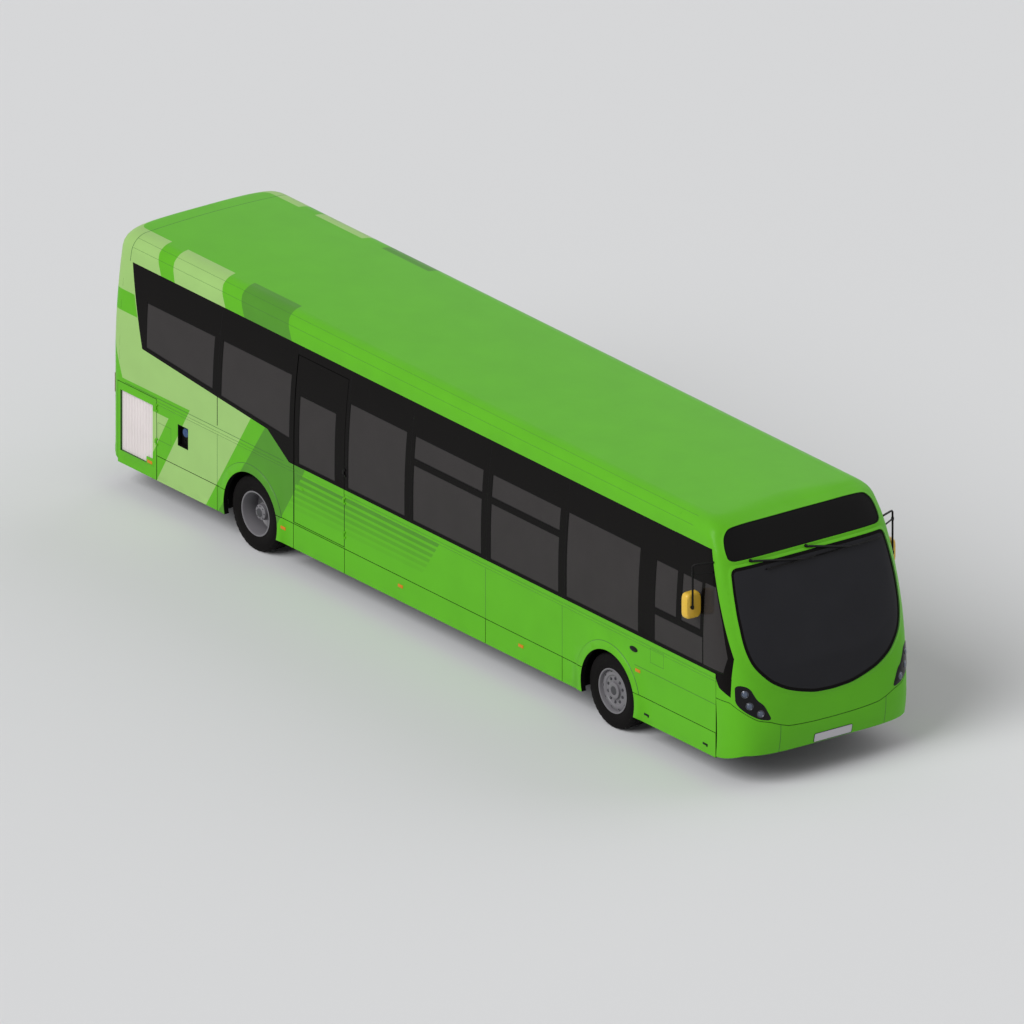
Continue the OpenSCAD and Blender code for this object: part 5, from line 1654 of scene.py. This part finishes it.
@dataclass
class Wheels:
    """Tyres and rims: single in front, twins behind."""

    radius: float = AXLE_Z
    width: float = 0.265
    rim: float = 0.248
    track: float = 1.0345
    twin: float = 0.3
    bolt_circle: float = 0.137

    def _tyre(self, shape: Shape, x: float, y: float, hand: int) -> None:
        """Adds one tyre with a bulged wall, grooves and shoulder blocks."""
        r, h = self.radius, self.width / 2
        half = [
            (self.rim + 0.002, h - 0.02), (self.rim + 0.012, h - 0.012), (self.rim + 0.03, h - 0.007),
            (self.rim + 0.045, h - 0.006), (self.rim + 0.05, h - 0.003), (self.rim + 0.09, h - 0.001),
            (r - 0.055, h - 0.0015), (r - 0.05, h - 0.005), (r - 0.03, h - 0.007), (r - 0.016, h - 0.012),
            (r - 0.005, h - 0.024), (r - 0.0012, h - 0.04), (r, h - 0.052),
        ]
        grooves = []
        for c in (0.062, 0.022):
            grooves += [(r, c + 0.006), (r - 0.012, c + 0.004), (r - 0.012, c - 0.004), (r, c - 0.006)]
        outer = half + grooves
        profile = outer + [(a, -b) for a, b in reversed(outer)]
        shoulder = {i for i, (a, b) in enumerate(profile) if a > r - 0.02 and abs(b) > h - 0.045}
        shape.turned(
            profile, (x, hand * y, self.radius), (0, hand, 0), TYRE, 144, closed=True,
            wave=lambda i, j: -0.006 if i in shoulder and j % 4 == 0 else 0.0,
        )

    def _barrel(self, shape: Shape, x: float, y: float, hand: int) -> None:
        """Adds one rim barrel with its flanges and drop centre."""
        r, h = self.rim, self.width / 2 - 0.012
        profile = [
            (r + 0.009, h), (r + 0.0095, h - 0.004), (r + 0.004, h - 0.006), (r - 0.001, h - 0.012),
            (r - 0.001, h - 0.04), (r - 0.009, h - 0.06), (r - 0.009, 0.06 - h), (r - 0.001, 0.04 - h),
            (r - 0.001, 0.012 - h), (r + 0.004, 0.006 - h), (r + 0.0095, 0.004 - h), (r + 0.009, -h),
            (r - 0.006, -h), (r - 0.011, 0.01 - h), (r - 0.0115, h - 0.01), (r - 0.006, h),
        ]
        shape.turned(profile, (x, hand * y, self.radius), (0, hand, 0), RIM, 96, closed=True)

    def _nuts(self, shape: Shape, x: float, y: float, hand: int, face: float, reach: float) -> None:
        """Adds a ring of wheel nuts with their studs on a disc's face."""
        up = (0, hand, 0)
        washer = [(0.0175, 0), (0.0175, 0.003), (0.014, 0.0045)]
        nut = [(0.0135, 0.004), (0.0135, reach - 0.005), (0.011, reach - 0.003), (0.007, reach)]
        for i in range(10):
            a = math.radians(36 * i + 18)
            c = (x + self.bolt_circle * math.cos(a), hand * (y + face), self.radius + self.bolt_circle * math.sin(a))
            shape.turned(washer, c, up, RIM_DARK, 18)
            shape.turned(nut, c, up, RIM_DARK, 6)

    def _holes(self, shape: Shape, x: float, y: float, hand: int, ring: float, face: float, size: float) -> None:
        """Adds the rimmed hand holes of a disc, each closed by a dark disc that is painted shade in place of an
        opening.
        """
        up = (0, hand, 0)
        collar = [(size + 0.005, -0.001), (size + 0.004, 0.002), (size, 0.0015), (size - 0.003, -0.001)]
        dark = [(size - 0.001, -0.001), (size - 0.002, 0.0009), (0.3 * size, 0.001)]
        for i in range(10):
            a = math.radians(36 * i)
            c = (x + ring * math.cos(a), hand * (y + face), self.radius + ring * math.sin(a))
            shape.turned(collar, c, up, RIM, 24)
            # A dark disc in each hole: painted shade, with no opening cut behind it
            shape.turned(dark, c, up, CHASSIS_AND_SHADE, 24)

    def front(self, side: str, hand: int) -> None:
        """Builds one front wheel."""
        body = f"wheel_front_{side}"
        tyre, rim = Shape(), Shape()
        x, y = AXLES[0], self.track
        self._tyre(tyre, x, y, hand)
        self._barrel(rim, x, y, hand)
        at, up = (x, hand * y, self.radius), (0, hand, 0)
        rim.turned(
            [(0.046, 0.041), (self.rim - 0.0112, 0.0585), (self.rim - 0.0112, 0.073), (0.226, 0.08), (0.207, 0.0878),
             (0.19, 0.0915), (0.176, 0.0915), (0.17, 0.088), (0.165, 0.0805), (0.15, 0.0795), (0.097, 0.0795),
             (0.096, 0.084), (0.094, 0.106), (0.088, 0.1095), (0.06, 0.11), (0.05, 0.106), (0.046, 0.104)],
            at, up, RIM, 96, closed=True,
        )
        rim.turned([(0.052, 0.1), (0.05, 0.1075), (0.034, 0.1095), (0.012, 0.11)], at, up, RIM_DARK, 48)
        self._nuts(rim, x, y, hand, 0.0795, 0.016)
        self._holes(rim, x, y, hand, 0.207, 0.0868, 0.017)
        dress(tyre.build(f"tyre_{body}"), body, "tyre_rubber", f"tyre_front_{side}")
        dress(rim.build(f"rim_{body}", 30), body, "rim_steel", f"rim_front_{side}")

    def rear(self, side: str, hand: int) -> None:
        """Builds one pair of rear wheels with their dished discs and hub."""
        body = f"wheels_rear_{side}"
        tyres, rim = Shape(), Shape()
        x = AXLES[1]
        for y in (self.track, self.track - self.twin):
            self._tyre(tyres, x, y, hand)
            self._barrel(rim, x, y, hand)
        at, up = (x, hand * (self.track - self.twin / 2), self.radius), (0, hand, 0)
        edge = self.rim - 0.0112
        rim.turned(
            [(0.1, 0.0055), (0.16, 0.006), (0.172, 0.012), (0.215, 0.036), (edge, 0.056), (edge, 0.0385),
             (0.218, 0.026), (0.15, -0.012), (0.1, -0.012)], at, up, RIM, 96, closed=True,
        )
        rim.turned(
            [(0.1, -0.0125), (0.15, -0.0125), (edge, -0.0385), (edge, -0.0615), (0.16, -0.03), (0.1, -0.03)], at, up,
            RIM, 96, closed=True,
        )
        hub = [
            (0.048, -0.028), (0.104, -0.028), (0.104, 0.05), (0.1, 0.056), (0.1, 0.15), (0.096, 0.155),
            (0.09, 0.157), (0.088, 0.2), (0.082, 0.206), (0.06, 0.2085), (0.056, 0.213), (0.05, 0.216),
            (0.048, 0.216),
        ]
        rim.turned(hub, at, up, RIM, 72, closed=True)
        rim.turned([(0.052, 0.205), (0.05, 0.2165), (0.036, 0.22), (0.012, 0.2215)], at, up, RIM_DARK, 40)
        for i in range(8):
            a = math.radians(45 * i)
            c = (x + 0.074 * math.cos(a), at[1] + hand * 0.206, self.radius + 0.074 * math.sin(a))
            rim.turned([(0.007, 0), (0.007, 0.006), (0.005, 0.008)], c, up, RIM_DARK, 6)
        self._nuts(rim, x, self.track - self.twin / 2, hand, 0.006, 0.017)
        self._holes(rim, x, self.track - self.twin / 2, hand, 0.194, 0.0235, 0.015)
        dress(tyres.build(f"tyres_{body}"), body, "tyre_rubber", f"tyres_rear_{side}")
        dress(rim.build(f"rims_{body}", 30), body, "rim_steel", f"rims_rear_{side}")


# ---- Saloon ----


@dataclass
class Saloon:
    """Passenger seats, driver's seat and the parts that keep their frame shapes."""

    rows: tuple[Point, ...] = (
        (-1.15, 0.35), (-0.39, 0.35), (0.37, 0.35), (1.13, 0.35), (1.89, 0.35), (-2.2, 0.7), (-4.12, 0.7),
        (-4.95, 1.08),
    )

    def _pad(self, shape: Shape, low: Sequence[float], high: Sequence[float], crown: int, finish: Finish) -> None:
        """Adds a crowned closed cushion.

        Args:
            shape: the piece it goes into.
            low: its lowest corner.
            high: its highest corner.
            crown: the axis along which it swells most.
            finish: its cover.
        """
        lo, hi = np.array(low, float), np.array(high, float)
        mid, half = (lo + hi) / 2, (hi - lo) / 2
        n, power = 9, 7.0
        ts = np.linspace(-1, 1, n)
        first, second = (k for k in range(3) if k != crown)
        verts, faces = [], []
        for axis in range(3):
            for sign in (-1, 1):
                start = len(verts)
                for a in ts:
                    for b in ts:
                        p = np.zeros(3)
                        p[axis], p[(axis + 1) % 3], p[(axis + 2) % 3] = sign, a, b
                        p = p * (np.abs(p) ** power).sum() ** (-1 / power)
                        edge = 1 - 0.14 * (p[first] ** 2 + p[second] ** 2) / 2
                        seam = 0.06 if abs(abs(p[second]) - 0.62) < 0.07 else 0.0
                        p[crown] *= edge - seam
                        verts.append(mid + half * p)
                for i in range(n - 1):
                    for j in range(n - 1):
                        at = start + i * n + j
                        q = [at, at + n, at + n + 1, at + 1]
                        faces.append(q if sign > 0 else q[::-1])
        shape.add(np.array(verts), faces, finish)

    def passengers(self) -> None:
        """Builds the double seats: moulded shells, cushions, grab handles and legs."""
        pads, shells = Shape(), Shape()
        for hand in (-1, 1):
            for x, z in self.rows:
                for y0, y1 in ((0.712, 0.918), (0.924, 1.13)):
                    a, b = sorted((hand * y0, hand * y1))
                    self._pad(pads, (x + 0.012, a, z + 0.405), (x + 0.385, b, z + 0.458), 2, MOQUETTE)
                    self._pad(pads, (x - 0.032, a, z + 0.462), (x + 0.018, b, z + 0.985), 0, MOQUETTE)
                    shells.block((x - 0.058, a + 0.003, z + 0.4), (x - 0.03, b - 0.003, z + 0.995), SEAT_SHELL, 0.012)
                    shells.block((x - 0.01, a + 0.003, z + 0.382), (x + 0.388, b - 0.003, z + 0.407), SEAT_SHELL, 0.01)
                handle = ((0.0, 0.9), (-0.008, 0.96), (0.02, 0.998), (0.18, 0.999), (0.2, 0.97))
                path = [(x - 0.045, hand * (0.72 + across), z + up) for across, up in handle]
                shells.rod(path, 0.009, RAIL, 10)
                a, b = sorted((hand * 0.805, hand * 1.035))
                shells.block((x + 0.11, a, z), (x + 0.15, b, z + 0.385), RIM_DARK, 0.008)
                shells.block((x + 0.1, a, z), (x + 0.16, b, z + 0.012), RIM_DARK, 0.004)
        frame = dress(shells.build("seat_shells"), "bus_body", "seat_fabric", "passenger_seats")
        cover = dress(pads.build("seat_cushions", 70), "bus_body", "seat_fabric")
        cover.parent = frame

    def driver(self) -> None:
        """Builds the driver's seat on its suspension box."""
        pads, frame = Shape(), Shape()
        self._pad(pads, (4.3, -0.87, 0.735), (4.735, -0.41, 0.818), 2, MOQUETTE)
        self._pad(pads, (4.265, -0.86, 0.83), (4.33, -0.42, 1.29), 0, MOQUETTE)
        self._pad(pads, (4.27, -0.77, 1.3), (4.325, -0.51, 1.475), 0, MOQUETTE)
        frame.block((4.262, -0.878, 0.7), (4.738, -0.402, 0.742), SEAT_SHELL, 0.015)
        frame.block((4.232, -0.868, 0.76), (4.268, -0.412, 1.46), SEAT_SHELL, 0.015)
        for i in range(6):
            z, waist = 0.4 + 0.05 * i, 0.004 * (i % 2)
            frame.block((4.325 + waist, -0.785, z), (4.615 - waist, -0.495, z + 0.046), GASKET_AND_SHADE, 0.015)
        frame.block((4.32, -0.79, 0.35), (4.62, -0.49, 0.4), RIM_DARK, 0.006)
        base = dress(frame.build("driver_seat_frame"), "bus_body", "seat_fabric", "driver_seat")
        cover = dress(pads.build("driver_seat_cushions", 70), "bus_body", "seat_fabric")
        cover.parent = base

    def finishes(self, nodes: dict[str, bpy.types.Object]) -> None:
        """Gives the frame's own parts their finishes.

        Args:
            nodes: the frame's parts by name.
        """
        kept = {
            "chassis_frame": CHASSIS_AND_SHADE, "floor": FLOOR_VINYL, "wheel_boxes": GASKET_AND_SHADE, "destination_box": TRIM,
            "engine": ENGINE_PAINT, "dashboard": DASH, "steering_wheel": TRIM, "cab_screen": SEAT_SHELL,
            "handrails": RAIL, "front_axle": IRON, "rear_axle": IRON, "knuckle_left": IRON,
            "knuckle_right": IRON, "tie_rod": IRON,
        }
        for name, finish in kept.items():
            obj = nodes[name]
            if not obj.material_slots:
                obj.data.materials.append(finish.material())
            for slot in obj.material_slots:
                slot.material = finish.material()
            log.info("%s keeps its shape in %s", name, finish.name)


# ---- Studio ----


@dataclass
class Studio:
    """Pale floor, soft light and the camera."""

    azimuth: float = 53.35
    elevation: float = 21.67
    scale: float = 11.194
    target: tuple[float, float, float] = (0.0, -0.04, 1.209)

    def floor(self) -> None:
        """Lays a plain pale floor."""
        mesh = bpy.data.meshes.new("studio_floor")
        mesh.from_pydata([(-60, -60, 0), (60, -60, 0), (60, 60, 0), (-60, 60, 0)], [], [(0, 1, 2, 3)])
        paint = bpy.data.materials.new("plaster_painted_pale")
        paint.use_nodes = True
        tree = paint.node_tree
        shader = tree.nodes["Principled BSDF"]
        shader.inputs["Base Color"].default_value = linear("#DADBDD")
        shader.inputs["Roughness"].default_value = 0.9
        mesh.materials.append(paint)
        obj = bpy.data.objects.new("studio_floor", mesh)
        bpy.context.scene.collection.objects.link(obj)

    def lights(self) -> None:
        """Hangs soft lights over the right side and the roof, with a pale world."""
        for name, turn, strength, spread in (
            ("key", (math.radians(50), 0, math.radians(4)), 2.2, 40),
            ("fill", (math.radians(60), 0, math.radians(176)), 0.7, 60),
        ):
            lamp = bpy.data.lights.new(name, "SUN")
            lamp.energy = strength
            lamp.angle = math.radians(spread)
            obj = bpy.data.objects.new(name, lamp)
            obj.rotation_euler = turn
            bpy.context.scene.collection.objects.link(obj)
        world = bpy.data.worlds.new("studio")
        world.use_nodes = True
        tree = world.node_tree
        tree.nodes.clear()
        ray = add_node(tree, "ShaderNodeLightPath")
        seen = add_node(
            tree, "ShaderNodeMath", {0: ray.outputs["Is Camera Ray"], 1: ray.outputs["Is Transmission Ray"]},
            operation="MAXIMUM",
        )
        seen = add_node(
            tree, "ShaderNodeMath", {0: seen.outputs[0], 1: ray.outputs["Is Glossy Ray"]}, operation="MAXIMUM"
        )
        lit = add_node(tree, "ShaderNodeBackground", {"Color": linear("#F1F0EE"), "Strength": 0.43})
        pale = add_node(tree, "ShaderNodeBackground", {"Color": linear("#E4E5E7"), "Strength": 1.0})
        mix = add_node(tree, "ShaderNodeMixShader", {0: seen.outputs[0], 1: lit.outputs[0], 2: pale.outputs[0]})
        add_node(tree, "ShaderNodeOutputWorld", {"Surface": mix.outputs[0]})
        bpy.context.scene.world = world

    def camera(self) -> None:
        """Sets the camera square to its target from the front right."""
        a, e = math.radians(self.azimuth), math.radians(self.elevation)
        way = Vector((math.sin(a) * math.cos(e), -math.cos(a) * math.cos(e), math.sin(e)))
        lens = bpy.data.cameras.new("camera")
        lens.type = "ORTHO"
        lens.ortho_scale = self.scale
        lens.clip_end = 200
        obj = bpy.data.objects.new("camera", lens)
        obj.location = Vector(self.target) + way * 30
        obj.rotation_euler = (-way).to_track_quat("-Z", "Y").to_euler()
        bpy.context.scene.collection.objects.link(obj)
        bpy.context.scene.camera = obj


def main() -> None:
    """Builds the whole bus on its frame."""
    logging.basicConfig(level=logging.INFO, format="%(message)s")
    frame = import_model()
    studio = Studio()
    studio.camera()
    studio.floor()
    studio.lights()
    bpy.context.scene.view_settings.view_transform = "Standard"
    shell, glazing, doors, lamps, trim = Shell(), Glazing(), Doors(), Lamps(), Trim()
    wheels, saloon = Wheels(), Saloon()
    for hand in (-1, 1):
        shell.wall(hand, glazing.panes(hand))
        glazing.side(hand)
    shell.skirts()
    shell.roof()
    shell.nose()
    shell.tail()
    shell.engine_cover()
    glazing.nose(shell)
    glazing.tail(shell)
    doors.emergency(shell)
    doors.radiator_door()
    doors.leaf("front", 5.022, 4.479)
    doors.leaf("rear", 3.928, 4.471)
    lamps.headlights()
    lamps.tails()
    lamps.side_markers()
    trim.mirrors()
    trim.wipers()
    trim.plates()
    trim.filler()
    for side, hand in (("left", 1), ("right", -1)):
        wheels.front(side, hand)
        wheels.rear(side, hand)
    saloon.passengers()
    saloon.driver()
    saloon.finishes(frame["nodes"])


if __name__ == "__main__":
    main()
